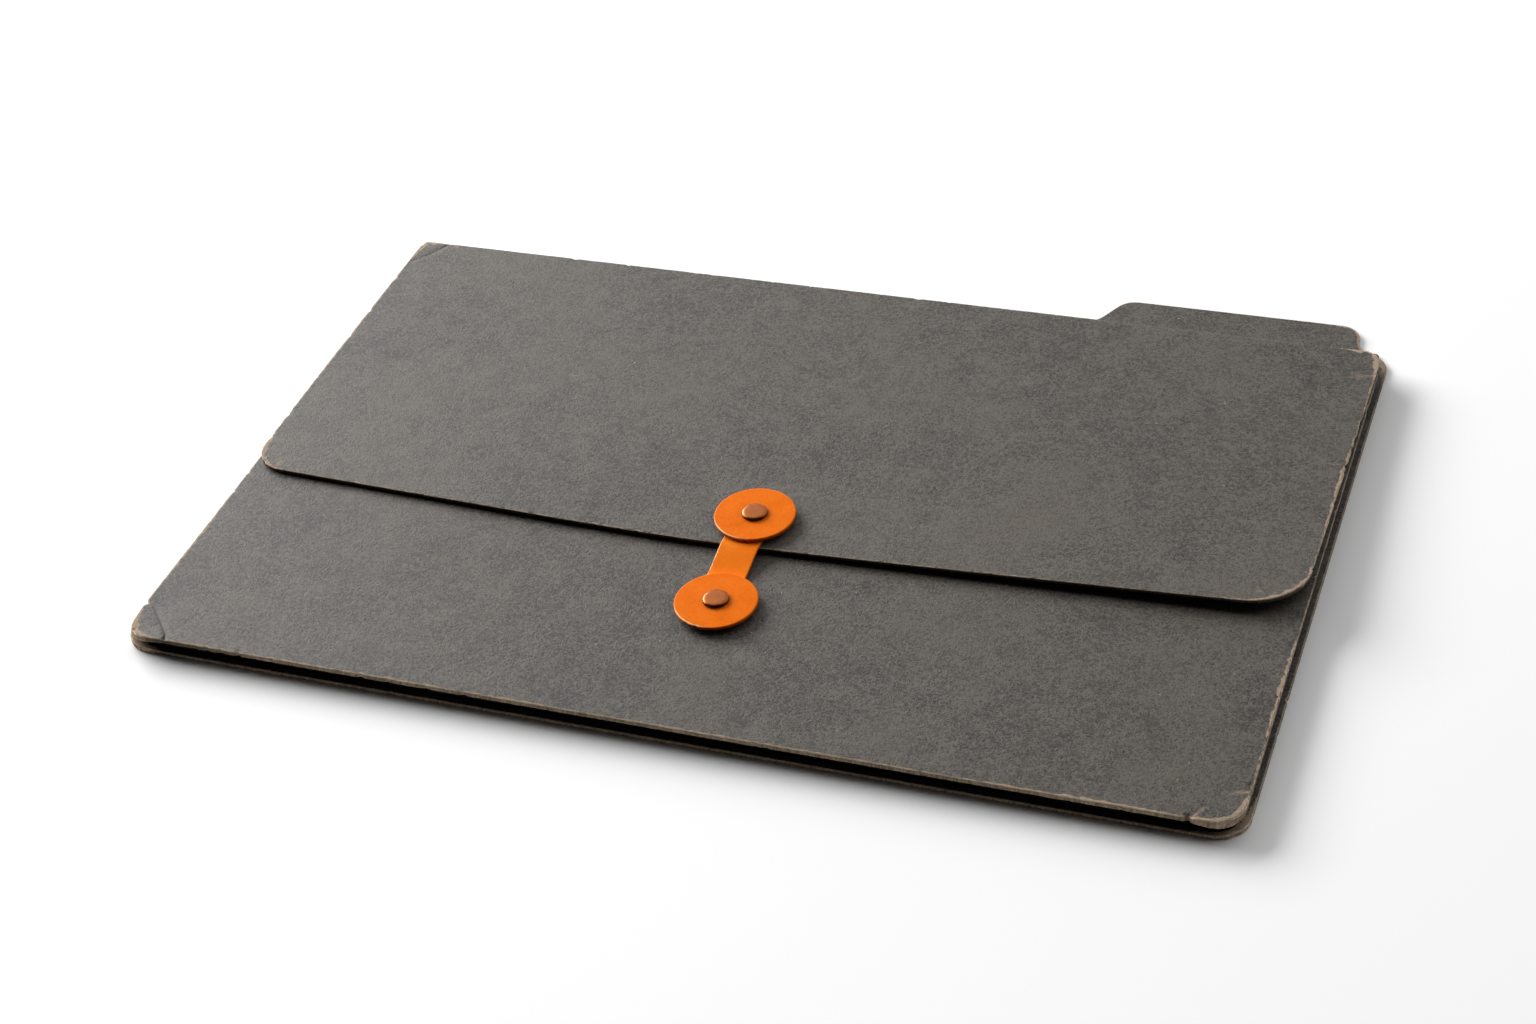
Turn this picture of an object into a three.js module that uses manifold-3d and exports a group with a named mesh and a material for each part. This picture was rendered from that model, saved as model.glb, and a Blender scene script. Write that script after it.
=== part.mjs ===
// Button and tie folder: a flat document wallet of grey pressboard for legal-size paper. Two boards are
// joined by black pleated gussets at the front and at both sides. A flap hinged along the rear edge folds
// over the front board and is held by a strap between two riveted buttons.
// Millimetres, +Z up. The folder lies on its back board, the flap's free edge faces -Y, and the origin is
// at the middle of the footprint, on the table.
import * as THREE from 'three';
import { mergeVertices } from 'three/addons/utils/BufferGeometryUtils.js';
import Module from 'manifold-3d';

// Boards
const folderWidth = 375;
const folderDepth = 241.5;
const boardThickness = 1.35;
const backOverhang = 1.2;
const pocketGap = 4.4;
const mouthSetback = 10;
const frontLeftRadius = 8;
const frontRightRadius = 10;
const backRearReach = 7.4;
const backRearLeftRadius = 4;
const backRearRightRadius = 8.5;
const mouthCornerRadius = 3;

// Index tab, in one piece with the back board
const tabReach = 15.8;
const tabRight = 176.3;
const tabLeft = 89;
const tabSlant = 8.1;
const tabRadius = 7.5;
const tabLeftRootRadius = 8;
const tabRightRootRadius = 3;

// Spine and its hinge cloth
const spineThickness = 1.1;
const foldGap = 0.15;
const clothThickness = 0.25;
const clothWidth = 18;
const clothSideGap = 3;
const clothCornerRadius = 1;
const glueLine = 0.05;

// Flap
const flapThickness = 1.1;
const flapRearWidth = 376;
const flapShift = -0.7;
const flapSideTaper = 0.9;
const flapReach = 155;
const flapRestGap = 0.15;
const flapCrown = 1.0;
const rightCurl = 2.9;
const leftDroop = 0.6;
const curlPower = 1.5;
const flapTipX = -25;
const flapTipBend = 30;
const flapTaperLeft = 0.04;
const flapTaperRight = 0.047;
const flapRearLeftRadius = 4;
const flapRearRightRadius = 8;
const flapFrontLeftRadius = 13;
const flapFrontRightRadius = 20;

// Gussets
const gussetSheet = 0.4;
const gussetReach = 16;
const gussetInset = 1.2;
const gussetCornerGap = 0.4;
const gussetMouthGap = 1;
// Heights of the outward and the inward folds, as shares of the gap between the glued leaves
const outerFoldShares = [0.02, 0.5, 0.98];
const innerFoldShares = [0.34, 0.66];

// Buttons and rivets
const buttonRadius = 13.9;
const buttonThickness = 1.3;
const buttonEdge = 0.3;
const rivetHeadRadius = 4.4;
const rivetHeadRim = 0.5;
const rivetHeadDome = 0.6;
const rivetShankRadius = 2.0;
const rivetFlareRadius = 3.0;
const rivetPlay = 0.15;
const turningPlay = 0.35;
const stackGap = 0.3;
const burrRadius = 5;
const burrThickness = 0.45;
const patchRadius = 11;
const patchThickness = 0.25;

// Tie strap, riveted under the lower button and hooked round the upper rivet
const strapWidth = 12.7;
const strapThickness = 1.0;
const strapTongue = 7;
const strapTongueRadius = 4;
const strapEyeRadius = 6;
const strapStepStart = 1.0;
const strapStepEnd = 1.0;
const lowerButtonX = 3.3;
const lowerButtonAheadOfFlap = 28.35;
const upperButtonX = 1.6;
const upperButtonInFlap = 14.65;

// Places that follow from the sizes above
const backWidth = folderWidth + 2 * backOverhang;
const frontY = -(folderDepth + backRearReach + tabReach) / 2;
const rearY = frontY + folderDepth;
const backRearY = rearY + backRearReach;
const tabEndY = backRearY + tabReach;
const backTopZ = boardThickness;
const pocketTopZ = backTopZ + pocketGap;
const frontTopZ = pocketTopZ + boardThickness;
const creaseZ = frontTopZ + flapRestGap;
const flapRearTopZ = creaseZ + flapThickness;
const mouthY = rearY - mouthSetback;
const flapTipY = rearY - flapReach;
const lowerButton = new THREE.Vector2(lowerButtonX, flapTipY - lowerButtonAheadOfFlap);
const upperButton = new THREE.Vector2(upperButtonX, flapTipY + upperButtonInFlap);
const buttonSpan = lowerButton.distanceTo(upperButton);

// Smoothness, and the play in cutting and welding
const cornerSteps = 6;
const roundSteps = 48;
const domeSteps = 5;
const throughCut = 5;
const weldDistance = 1e-4;

const pressboard = (name) => new THREE.MeshStandardMaterial({
  name, color: 0x5b5a57, roughness: 0.85, metalness: 0,
});
const bookcloth = new THREE.MeshStandardMaterial({
  name: 'black_bookcloth', color: 0x1b1b1a, roughness: 0.9, metalness: 0,
});
const vulcanisedFibre = new THREE.MeshStandardMaterial({
  name: 'orange_vulcanised_fibre', color: 0xe0721f, roughness: 0.55, metalness: 0,
});
const copperPlate = new THREE.MeshStandardMaterial({
  name: 'aged_copper_plate', color: 0x8a5a40, roughness: 0.38, metalness: 0.9,
});
const kraftPaper = new THREE.MeshStandardMaterial({
  name: 'black_kraft_paper', color: 0x2b2a29, roughness: 0.9, metalness: 0,
});

const folder = new THREE.Group();
folder.name = 'button_and_tie_folder';

function addPiece(name, geometry, material, parent = folder) {
  const mesh = new THREE.Mesh(geometry, material);
  mesh.name = name;
  parent.add(mesh);
  return mesh;
}

// Solids are joined and cut as manifolds, and turned back into plain geometry.
const wasm = await Module();
wasm.setup();

function toSolid(geometry) {
  const bare = geometry.index ? geometry.toNonIndexed() : geometry.clone();
  bare.deleteAttribute('normal');
  bare.deleteAttribute('uv');
  const merged = mergeVertices(bare, weldDistance);
  return new wasm.Manifold(new wasm.Mesh({
    numProp: 3,
    vertProperties: merged.attributes.position.array,
    triVerts: new Uint32Array(merged.index.array),
  }));
}

function toGeometry(solid) {
  const mesh = solid.getMesh();
  const geometry = new THREE.BufferGeometry();
  geometry.setAttribute('position', new THREE.BufferAttribute(mesh.vertProperties, 3));
  geometry.setIndex(new THREE.BufferAttribute(mesh.triVerts, 1));
  geometry.computeVertexNormals();
  return geometry;
}

// A closed outline from corners [x, y, radius], anticlockwise, each corner rounded with a tangent arc.
function roundedOutline(corners) {
  const shape = new THREE.Shape();
  corners.forEach(([x, y, radius = 0], i) => {
    const corner = new THREE.Vector2(x, y);
    const before = corners[(i + corners.length - 1) % corners.length];
    const after = corners[(i + 1) % corners.length];
    const toBefore = new THREE.Vector2(before[0], before[1]).sub(corner).normalize();
    const toAfter = new THREE.Vector2(after[0], after[1]).sub(corner).normalize();
    const half = Math.acos(THREE.MathUtils.clamp(toBefore.dot(toAfter), -1, 1)) / 2;
    const arcStart = corner.clone().addScaledVector(toBefore, radius / Math.tan(half));
    if (i === 0) shape.moveTo(arcStart.x, arcStart.y);
    else shape.lineTo(arcStart.x, arcStart.y);
    if (radius > 0) {
      const arcEnd = corner.clone().addScaledVector(toAfter, radius / Math.tan(half));
      const towards = toBefore.clone().add(toAfter).normalize();
      const centre = corner.clone().addScaledVector(towards, radius / Math.sin(half));
      const startAngle = Math.atan2(arcStart.y - centre.y, arcStart.x - centre.x);
      const endAngle = Math.atan2(arcEnd.y - centre.y, arcEnd.x - centre.x);
      const turnsRight = toBefore.cross(toAfter) > 0;
      shape.absarc(centre.x, centre.y, radius, startAngle, endAngle, turnsRight);
    }
  });
  shape.closePath();
  return shape;
}

// A plate of the given outline between two heights.
function plate(shape, bottomZ, topZ) {
  const geometry = new THREE.ExtrudeGeometry(shape, {
    depth: topZ - bottomZ, bevelEnabled: false, curveSegments: cornerSteps,
  });
  return geometry.translate(0, 0, bottomZ);
}

// An upright cylinder through a stack, for a hole.
function hole(centre, radius, bottomZ, topZ) {
  const geometry = new THREE.CylinderGeometry(radius, radius, topZ - bottomZ, roundSteps);
  return geometry.rotateX(Math.PI / 2).translate(centre.x, centre.y, (bottomZ + topZ) / 2);
}

function drilled(geometry, centre, radius, bottomZ, topZ) {
  const cutter = hole(centre, radius, bottomZ - throughCut, topZ + throughCut);
  return toGeometry(toSolid(geometry).subtract(toSolid(cutter)));
}

// A body of revolution about an upright axis, from [radius, height] points that close on themselves.
function turned(points, centre) {
  const profile = points.map(([r, z]) => new THREE.Vector2(r, z));
  const geometry = new THREE.LatheGeometry([...profile, profile[0].clone()], roundSteps);
  return geometry.rotateX(Math.PI / 2).translate(centre.x, centre.y, 0);
}

// Back board, which stands out a little behind the spine, with the index tab behind that
const halfBack = backWidth / 2;
const backOutline = roundedOutline([
  [-halfBack, frontY, frontLeftRadius],
  [halfBack, frontY, frontRightRadius],
  [halfBack, backRearY, backRearRightRadius],
  [tabRight, backRearY, tabRightRootRadius],
  [tabRight, tabEndY, tabRadius],
  [tabLeft, tabEndY, tabRadius],
  [tabLeft - tabSlant, backRearY, tabLeftRootRadius],
  [-halfBack, backRearY, backRearLeftRadius],
]);
addPiece('back_board', plate(backOutline, 0, backTopZ), pressboard('grey_pressboard_back'));

// Front board, which ends short of the crease so that papers can be reached
const halfFront = folderWidth / 2;
const frontOutline = roundedOutline([
  [-halfFront, frontY, frontLeftRadius],
  [halfFront, frontY, frontRightRadius],
  [halfFront, mouthY, mouthCornerRadius],
  [-halfFront, mouthY, mouthCornerRadius],
]);
const boardHole = rivetShankRadius + rivetPlay;
addPiece(
  'front_board',
  drilled(plate(frontOutline, pocketTopZ, frontTopZ), lowerButton, boardHole, pocketTopZ, frontTopZ),
  pressboard('grey_pressboard_front'),
);

// Spine strip, upright between the two folds
const spineBottomZ = backTopZ + foldGap;
const spineTopZ = creaseZ - foldGap;
const spineOutline = roundedOutline([
  [-halfFront, rearY - spineThickness],
  [halfFront, rearY - spineThickness],
  [halfFront, rearY],
  [-halfFront, rearY],
]);
addPiece('spine_strip', plate(spineOutline, spineBottomZ, spineTopZ), pressboard('grey_pressboard_spine'));

// Hinge cloth: one leaf glued to the back board, one to the spine's inner face
const halfCloth = halfFront - gussetInset - gussetReach - clothSideGap;
const spineInnerY = rearY - spineThickness;
const lowerLeaf = roundedOutline([
  [-halfCloth, spineInnerY - clothWidth, clothCornerRadius],
  [halfCloth, spineInnerY - clothWidth, clothCornerRadius],
  [halfCloth, spineInnerY - glueLine],
  [-halfCloth, spineInnerY - glueLine],
]);
const lowerLeafZ = backTopZ + glueLine;
addPiece('back_hinge_cloth', plate(lowerLeaf, lowerLeafZ, lowerLeafZ + clothThickness), bookcloth);
const upperLeaf = roundedOutline([
  [-halfCloth, spineInnerY - glueLine - clothThickness],
  [halfCloth, spineInnerY - glueLine - clothThickness],
  [halfCloth, spineInnerY - glueLine],
  [-halfCloth, spineInnerY - glueLine],
]);
const upperLeafZ = lowerLeafZ + clothThickness + glueLine;
addPiece('spine_hinge_cloth', plate(upperLeaf, upperLeafZ, spineTopZ - clothThickness), bookcloth);

// Flap. It rises a little from the crease to the buttons, its right front corner curls up and its left
// one settles, and its free edge runs back to both sides from a tip left of the strap.
const flapHalf = flapRearWidth / 2;
const flapRearLeftX = flapShift - flapHalf;
const flapRearRightX = flapShift + flapHalf;
const flapLeftX = flapRearLeftX + flapSideTaper;
const flapRightX = flapRearRightX - flapSideTaper;

function flapEdgeY(x) {
  const taper = x > flapTipX ? flapTaperRight : flapTaperLeft;
  return flapTipY + taper * (Math.hypot(x - flapTipX, flapTipBend) - flapTipBend);
}

function flapUnderside(x, y) {
  const t = (rearY - y) / flapReach;
  const side = Math.pow(Math.abs(x) / flapHalf, curlPower);
  const corner = x > 0 ? rightCurl * side : -leftDroop * side;
  return creaseZ + flapCrown * (2 * t - t * t) + corner * t * t;
}

// A sheet of even thickness over a rectangle, as a closed grid that follows a height function.
function sheetSolid(leftX, rightX, nearY, farY, columns, rows, heightAt, thickness) {
  const positions = [];
  const index = [];
  const layer = (columns + 1) * (rows + 1);
  for (const lift of [0, thickness]) {
    for (let j = 0; j <= rows; j += 1) {
      for (let i = 0; i <= columns; i += 1) {
        const x = THREE.MathUtils.lerp(leftX, rightX, i / columns);
        const y = THREE.MathUtils.lerp(nearY, farY, j / rows);
        positions.push(x, y, heightAt(x, y) + lift);
      }
    }
  }
  const at = (i, j) => j * (columns + 1) + i;
  const quad = (a, b, c, d) => index.push(a, b, c, a, c, d);
  for (let j = 0; j < rows; j += 1) {
    for (let i = 0; i < columns; i += 1) {
      const [a, b, c, d] = [at(i, j), at(i + 1, j), at(i + 1, j + 1), at(i, j + 1)];
      quad(layer + a, layer + b, layer + c, layer + d);
      quad(a, d, c, b);
    }
  }
  for (let i = 0; i < columns; i += 1) {
    quad(at(i, 0), at(i + 1, 0), layer + at(i + 1, 0), layer + at(i, 0));
    quad(at(i + 1, rows), at(i, rows), layer + at(i, rows), layer + at(i + 1, rows));
  }
  for (let j = 0; j < rows; j += 1) {
    quad(at(0, j + 1), at(0, j), layer + at(0, j), layer + at(0, j + 1));
    quad(at(columns, j), at(columns, j + 1), layer + at(columns, j + 1), layer + at(columns, j));
  }
  const geometry = new THREE.BufferGeometry();
  geometry.setAttribute('position', new THREE.Float32BufferAttribute(positions, 3));
  geometry.setIndex(index);
  return geometry;
}

const edgePoints = 18;
const flapCorners = [
  [flapRearRightX, rearY, flapRearRightRadius],
  [flapRearLeftX, rearY, flapRearLeftRadius],
  [flapLeftX, flapEdgeY(flapLeftX), flapFrontLeftRadius],
];
const edgeLeftX = flapLeftX + 2 * flapFrontLeftRadius;
const edgeRightX = flapRightX - 2 * flapFrontRightRadius;
for (let i = 0; i <= edgePoints; i += 1) {
  const x = THREE.MathUtils.lerp(edgeLeftX, edgeRightX, i / edgePoints);
  flapCorners.push([x, flapEdgeY(x)]);
}
flapCorners.push([flapRightX, flapEdgeY(flapRightX), flapFrontRightRadius]);

const sheetMargin = 2;
const flapColumns = 20;
const flapRows = 8;
const flapSheet = sheetSolid(
  flapRearLeftX - sheetMargin, flapRearRightX + sheetMargin, flapTipY - sheetMargin, rearY + sheetMargin,
  flapColumns, flapRows, flapUnderside, flapThickness,
);
const aboveFlapZ = flapRearTopZ + flapCrown + rightCurl + throughCut;
const flapPrism = plate(roundedOutline(flapCorners), 0, aboveFlapZ);
const flapSolid = toSolid(flapSheet).intersect(toSolid(flapPrism));
const upperHole = toSolid(hole(upperButton, boardHole, 0, aboveFlapZ));
addPiece('flap_board', toGeometry(flapSolid.subtract(upperHole)), pressboard('grey_pressboard_flap'));

// Gussets: a sheet pleated to and fro between the boards, with its two outer leaves glued flat.
// The profile runs in [inward, height], from the leaf on the back board to the leaf on the front board.
const gussetBottomZ = backTopZ + glueLine;
const gussetTopZ = pocketTopZ - glueLine;

function pleatProfile() {
  const low = gussetBottomZ + gussetSheet / 2;
  const high = gussetTopZ - gussetSheet / 2;
  const heightAt = (share) => THREE.MathUtils.lerp(low, high, share);
  // Folds as [inward, height], in order from the back board up
  const folds = [[gussetReach, low]];
  outerFoldShares.forEach((share, i) => {
    folds.push([0, heightAt(share)]);
    if (i < innerFoldShares.length) folds.push([gussetReach, heightAt(innerFoldShares[i])]);
  });
  folds.push([gussetReach, high]);
  const half = gussetSheet / 2;
  // Inside a fold, the top of the leaf that comes in meets the bottom of the leaf that goes out.
  const crotch = (k) => {
    const [[x0, z0], [x1, z1], [x2, z2]] = [folds[k - 1], folds[k], folds[k + 1]];
    const slopeIn = (z1 - z0) / (x1 - x0);
    const slopeOut = (z2 - z1) / (x2 - x1);
    const x = x1 - gussetSheet / (slopeIn - slopeOut);
    return [x, z1 + half + slopeIn * (x - x1)];
  };
  const below = [[folds[0][0], folds[0][1] - half]];
  const above = [[folds[0][0], folds[0][1] + half]];
  for (let k = 1; k < folds.length - 1; k += 1) {
    const [x, z] = folds[k];
    const tip = [[x, z - half], [x, z + half]];
    const outerFold = k % 2 === 1;
    (outerFold ? below : above).push(...tip);
    (outerFold ? above : below).push(crotch(k));
  }
  const last = folds[folds.length - 1];
  below.push([last[0], last[1] + half]);
  above.push([last[0], last[1] - half]);
  return [...below, ...above.reverse()];
}

// A pleated gusset along a straight edge. place(along, inward, z) gives the point in the folder's frame.
function gussetGeometry(startAt, endAt, place) {
  const shape = new THREE.Shape(pleatProfile().map(([q, z]) => new THREE.Vector2(q, z)));
  const geometry = new THREE.ExtrudeGeometry(shape, { depth: 1, bevelEnabled: false });
  const position = geometry.attributes.position;
  for (let i = 0; i < position.count; i += 1) {
    const [inward, z, share] = [position.getX(i), position.getY(i), position.getZ(i)];
    const along = THREE.MathUtils.lerp(startAt(inward), endAt(inward), share);
    position.setXYZ(i, ...place(along, inward, z));
  }
  return geometry;
}

const gussetEdgeX = halfFront - gussetInset;
const gussetFrontY = frontY + gussetInset;
const gussetRearY = mouthY - gussetMouthGap;
const mitreY = (inward) => gussetFrontY + inward + gussetCornerGap;
const gussetTrim = toSolid(plate(roundedOutline([
  [-gussetEdgeX, gussetFrontY, frontLeftRadius - gussetInset],
  [gussetEdgeX, gussetFrontY, frontRightRadius - gussetInset],
  [gussetEdgeX, gussetRearY],
  [-gussetEdgeX, gussetRearY],
]), backTopZ, pocketTopZ));

function addGusset(name, startAt, endAt, place) {
  const pleated = toSolid(gussetGeometry(startAt, endAt, place));
  addPiece(name, toGeometry(pleated.intersect(gussetTrim)), bookcloth);
}

addGusset('gusset_left', () => gussetRearY, mitreY, (along, q, z) => [q - gussetEdgeX, along, z]);
addGusset('gusset_right', mitreY, () => gussetRearY, (along, q, z) => [gussetEdgeX - q, along, z]);
addGusset(
  'gusset_front',
  (inward) => inward - gussetEdgeX,
  (inward) => gussetEdgeX - inward,
  (along, inward, z) => [along, gussetFrontY + inward, z],
);

// Heights of the two button stacks, from the board up: strap, button, rivet head
const lowerStrapZ = frontTopZ + stackGap;
const flapTopAtEdge = flapUnderside(upperButton.x, flapEdgeY(upperButton.x)) + flapThickness;
const upperStrapZ = flapTopAtEdge + stackGap;
const buttonBottomOver = (strapZ) => strapZ + strapThickness + stackGap;

// A fibre button: a flat disc with a broken edge and a hole for the rivet
function buttonGeometry(centre, bottomZ) {
  const topZ = bottomZ + buttonThickness;
  const boreRadius = rivetShankRadius + turningPlay;
  return turned([
    [boreRadius, bottomZ],
    [buttonRadius - buttonEdge, bottomZ],
    [buttonRadius, bottomZ + buttonEdge],
    [buttonRadius, topZ - buttonEdge],
    [buttonRadius - buttonEdge, topZ],
    [boreRadius, topZ],
  ], centre);
}

// A rivet with a low domed head, its shank flared into the burr behind the board
function rivetGeometry(centre, headZ, burrBottomZ) {
  const points = [
    [0, burrBottomZ],
    [rivetFlareRadius, burrBottomZ],
    [rivetShankRadius, burrBottomZ + burrThickness],
    [rivetShankRadius, headZ],
    [rivetHeadRadius - buttonEdge, headZ],
    [rivetHeadRadius, headZ + buttonEdge],
    [rivetHeadRadius, headZ + rivetHeadRim],
  ];
  for (let i = 1; i <= domeSteps; i += 1) {
    const angle = (Math.PI / 2) * (i / domeSteps);
    points.push([
      rivetHeadRadius * Math.cos(angle), headZ + rivetHeadRim + rivetHeadDome * Math.sin(angle),
    ]);
  }
  points[points.length - 1][0] = 0;
  const profile = points.map(([r, z]) => new THREE.Vector2(r, z));
  const geometry = new THREE.LatheGeometry(profile, roundSteps);
  return geometry.rotateX(Math.PI / 2).translate(centre.x, centre.y, 0);
}

// The burr: a washer whose countersunk hole holds the flared shank
function burrGeometry(centre, topZ) {
  const bottomZ = topZ - burrThickness;
  return turned([
    [rivetFlareRadius + rivetPlay, bottomZ],
    [burrRadius, bottomZ],
    [burrRadius, topZ],
    [rivetShankRadius + rivetPlay, topZ],
  ], centre);
}

// A round reinforcing patch glued behind the board
function patchGeometry(centre, topZ) {
  const bottomZ = topZ - patchThickness;
  return turned([
    [boardHole, bottomZ],
    [patchRadius, bottomZ],
    [patchRadius, topZ],
    [boardHole, topZ],
  ], centre);
}

function lowestFlapUnderside(centre, radius) {
  let lowest = Infinity;
  for (let i = 0; i < roundSteps; i += 1) {
    const angle = (2 * Math.PI * i) / roundSteps;
    const x = centre.x + radius * Math.cos(angle);
    const y = centre.y + radius * Math.sin(angle);
    lowest = Math.min(lowest, flapUnderside(x, y));
  }
  return lowest;
}
const flapUnderButton = lowestFlapUnderside(upperButton, patchRadius);

const stacks = [
  { side: 'lower', centre: lowerButton, strapZ: lowerStrapZ, behindZ: pocketTopZ },
  { side: 'upper', centre: upperButton, strapZ: upperStrapZ, behindZ: flapUnderButton },
];
for (const { side, centre, strapZ, behindZ } of stacks) {
  const buttonZ = buttonBottomOver(strapZ);
  const patchTopZ = behindZ - glueLine;
  const burrTopZ = patchTopZ - patchThickness - glueLine;
  addPiece(`${side}_button`, buttonGeometry(centre, buttonZ), vulcanisedFibre);
  addPiece(
    `${side}_rivet`,
    rivetGeometry(centre, buttonZ + buttonThickness + glueLine, burrTopZ - burrThickness),
    copperPlate,
  );
  addPiece(`${side}_burr`, burrGeometry(centre, burrTopZ), copperPlate);
  addPiece(`${side}_patch`, patchGeometry(centre, patchTopZ), kraftPaper);
}

// Tie strap, in its own frame: the lower rivet at the origin, the upper one along +Y
const stepStart = buttonRadius + strapStepStart;
const flapEdgeAhead = flapEdgeY(lowerButton.x) - lowerButton.y;
const stepEnd = flapEdgeAhead - strapStepEnd;
const strapEndY = buttonSpan + strapTongue;
const halfStrap = strapWidth / 2;
const slotHalf = rivetShankRadius + turningPlay;

// The strap's side view, in [along, height]: flat under the lower button, a step up, flat on the flap
function strapSideView() {
  const riseSteps = 10;
  const under = [[-strapWidth, lowerStrapZ]];
  for (let i = 0; i <= riseSteps; i += 1) {
    const along = THREE.MathUtils.lerp(stepStart, stepEnd, i / riseSteps);
    const share = THREE.MathUtils.smoothstep(along, stepStart, stepEnd);
    under.push([along, THREE.MathUtils.lerp(lowerStrapZ, upperStrapZ, share)]);
  }
  under.push([strapEndY + strapWidth, upperStrapZ]);
  const over = under.map(([along, z]) => [along, z + strapThickness]).reverse();
  return new THREE.Shape([...under, ...over].map(([along, z]) => new THREE.Vector2(along, z)));
}

// The hook: an arc-shaped slot about the lower rivet, open at the strap's right edge, so that the strap
// swings off the upper rivet's shank
function strapSlot() {
  const exitAngle = Math.asin((halfStrap + slotHalf) / (buttonSpan - slotHalf));
  const shape = new THREE.Shape();
  shape.moveTo(0, buttonSpan - slotHalf);
  shape.absarc(0, buttonSpan, slotHalf, -Math.PI / 2, Math.PI / 2, true);
  shape.absarc(0, 0, buttonSpan + slotHalf, Math.PI / 2, Math.PI / 2 - exitAngle, true);
  shape.absarc(0, 0, buttonSpan - slotHalf, Math.PI / 2 - exitAngle, Math.PI / 2, false);
  return shape;
}

const alongY = new THREE.Vector3(0, 1, 0);
const upZ = new THREE.Vector3(0, 0, 1);
const acrossX = new THREE.Vector3(1, 0, 0);
const strapBand = new THREE.ExtrudeGeometry(strapSideView(), { depth: 2 * strapWidth, bevelEnabled: false })
  .applyMatrix4(new THREE.Matrix4().makeBasis(alongY, upZ, acrossX))
  .translate(-strapWidth, 0, 0);
const strapOutline = roundedOutline([
  [-halfStrap, -halfStrap, strapEyeRadius],
  [halfStrap, -halfStrap, strapEyeRadius],
  [halfStrap, strapEndY, strapTongueRadius],
  [-halfStrap, strapEndY, strapTongueRadius],
]);
const strapTopZ = upperStrapZ + strapThickness + throughCut;
const strapSolid = toSolid(strapBand)
  .intersect(toSolid(plate(strapOutline, 0, strapTopZ)))
  .subtract(toSolid(plate(strapSlot(), 0, strapTopZ)))
  .subtract(toSolid(hole(new THREE.Vector2(0, 0), slotHalf, 0, strapTopZ)));
const strap = addPiece('tie_strap', toGeometry(strapSolid), vulcanisedFibre);
strap.position.set(lowerButton.x, lowerButton.y, 0);
strap.rotation.z = upperButton.clone().sub(lowerButton).angle() - Math.PI / 2;

export default folder;
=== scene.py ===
import math
import random

import bmesh
import bpy
import numpy as np
from mathutils import Matrix, Vector, noise
from mathutils.geometry import delaunay_2d_cdt
from mathutils.kdtree import KDTree


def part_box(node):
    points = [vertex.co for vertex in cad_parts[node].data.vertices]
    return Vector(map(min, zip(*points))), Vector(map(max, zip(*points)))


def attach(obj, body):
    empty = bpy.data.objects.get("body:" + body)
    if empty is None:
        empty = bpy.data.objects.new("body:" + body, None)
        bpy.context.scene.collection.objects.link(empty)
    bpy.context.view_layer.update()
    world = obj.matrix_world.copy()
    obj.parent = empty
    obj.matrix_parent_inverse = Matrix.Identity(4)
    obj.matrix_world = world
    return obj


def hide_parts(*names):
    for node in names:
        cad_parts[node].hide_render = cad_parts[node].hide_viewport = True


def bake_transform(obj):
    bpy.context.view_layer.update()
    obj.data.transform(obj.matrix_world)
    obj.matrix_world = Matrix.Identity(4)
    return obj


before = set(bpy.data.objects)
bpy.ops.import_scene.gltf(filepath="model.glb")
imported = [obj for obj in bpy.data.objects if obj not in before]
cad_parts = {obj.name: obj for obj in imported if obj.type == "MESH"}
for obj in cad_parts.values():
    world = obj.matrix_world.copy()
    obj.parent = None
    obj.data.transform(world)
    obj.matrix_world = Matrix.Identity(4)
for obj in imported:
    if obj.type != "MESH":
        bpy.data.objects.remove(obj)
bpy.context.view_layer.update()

# Camera. It stands in front of the wallet's right-hand corner, looks down on it and is tipped a little
# to the left. Its lens and place come from fitting the wallet's edges to the photograph.
LENS_MM = 64.43
FILM_MM = 36
AZIMUTH = math.radians(23.819)
ELEVATION = math.radians(37.937)
ROLL = math.radians(-6.930)
CAMERA_REACH = 0.9433
AIM = Vector((-0.0006, -0.0152, 0))

camera_data = bpy.data.cameras.new("camera")
camera_data.lens = LENS_MM
camera_data.sensor_width = FILM_MM
camera = bpy.data.objects.new("camera", camera_data)
bpy.context.scene.collection.objects.link(camera)
bpy.context.scene.camera = camera
backward = Vector((
    math.sin(AZIMUTH) * math.cos(ELEVATION), -math.cos(AZIMUTH) * math.cos(ELEVATION), math.sin(ELEVATION),
))
level = Vector((math.cos(AZIMUTH), math.sin(AZIMUTH), 0))
raised = backward.cross(level)
rightward = math.cos(ROLL) * level + math.sin(ROLL) * raised
upward = math.cos(ROLL) * raised - math.sin(ROLL) * level
camera.matrix_world = (
    Matrix.Translation(AIM + backward * CAMERA_REACH)
    @ Matrix((rightward, upward, backward)).transposed().to_4x4()
)
bpy.context.scene.view_settings.view_transform = "Standard"

# Table and light. The wallet lies on white paper that runs out of the picture, under one big soft box
# behind it on the left. The room is white behind the wallet and dark on the camera's side, which gives the
# folder's front its black contact shadow.
MM = 0.001
PAPER_SIDE = 8
PAPER_DEPTH = 0.02 * MM
# How bright the room is in front and behind, and how far to the rear it takes to turn from one to the other
ROOM_DARK, ROOM_BRIGHT, ROOM_EDGE = 0.015, 1.14, 0.35
SOFT_BOX_WIDTH, SOFT_BOX_HEIGHT = 2.2, 1.05
SOFT_BOX_PLACE = Vector((-2.166, 1.152, 1.016))
SOFT_BOX_WATTS = 127


def linear(colour):
    """An sRGB hex colour as the linear one that a shader takes."""
    shares = [int(colour[i:i + 2], 16) / 255 for i in (0, 2, 4)]
    return [s / 12.92 if s <= 0.04045 else ((s + 0.055) / 1.055) ** 2.4 for s in shares] + [1]


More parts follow.
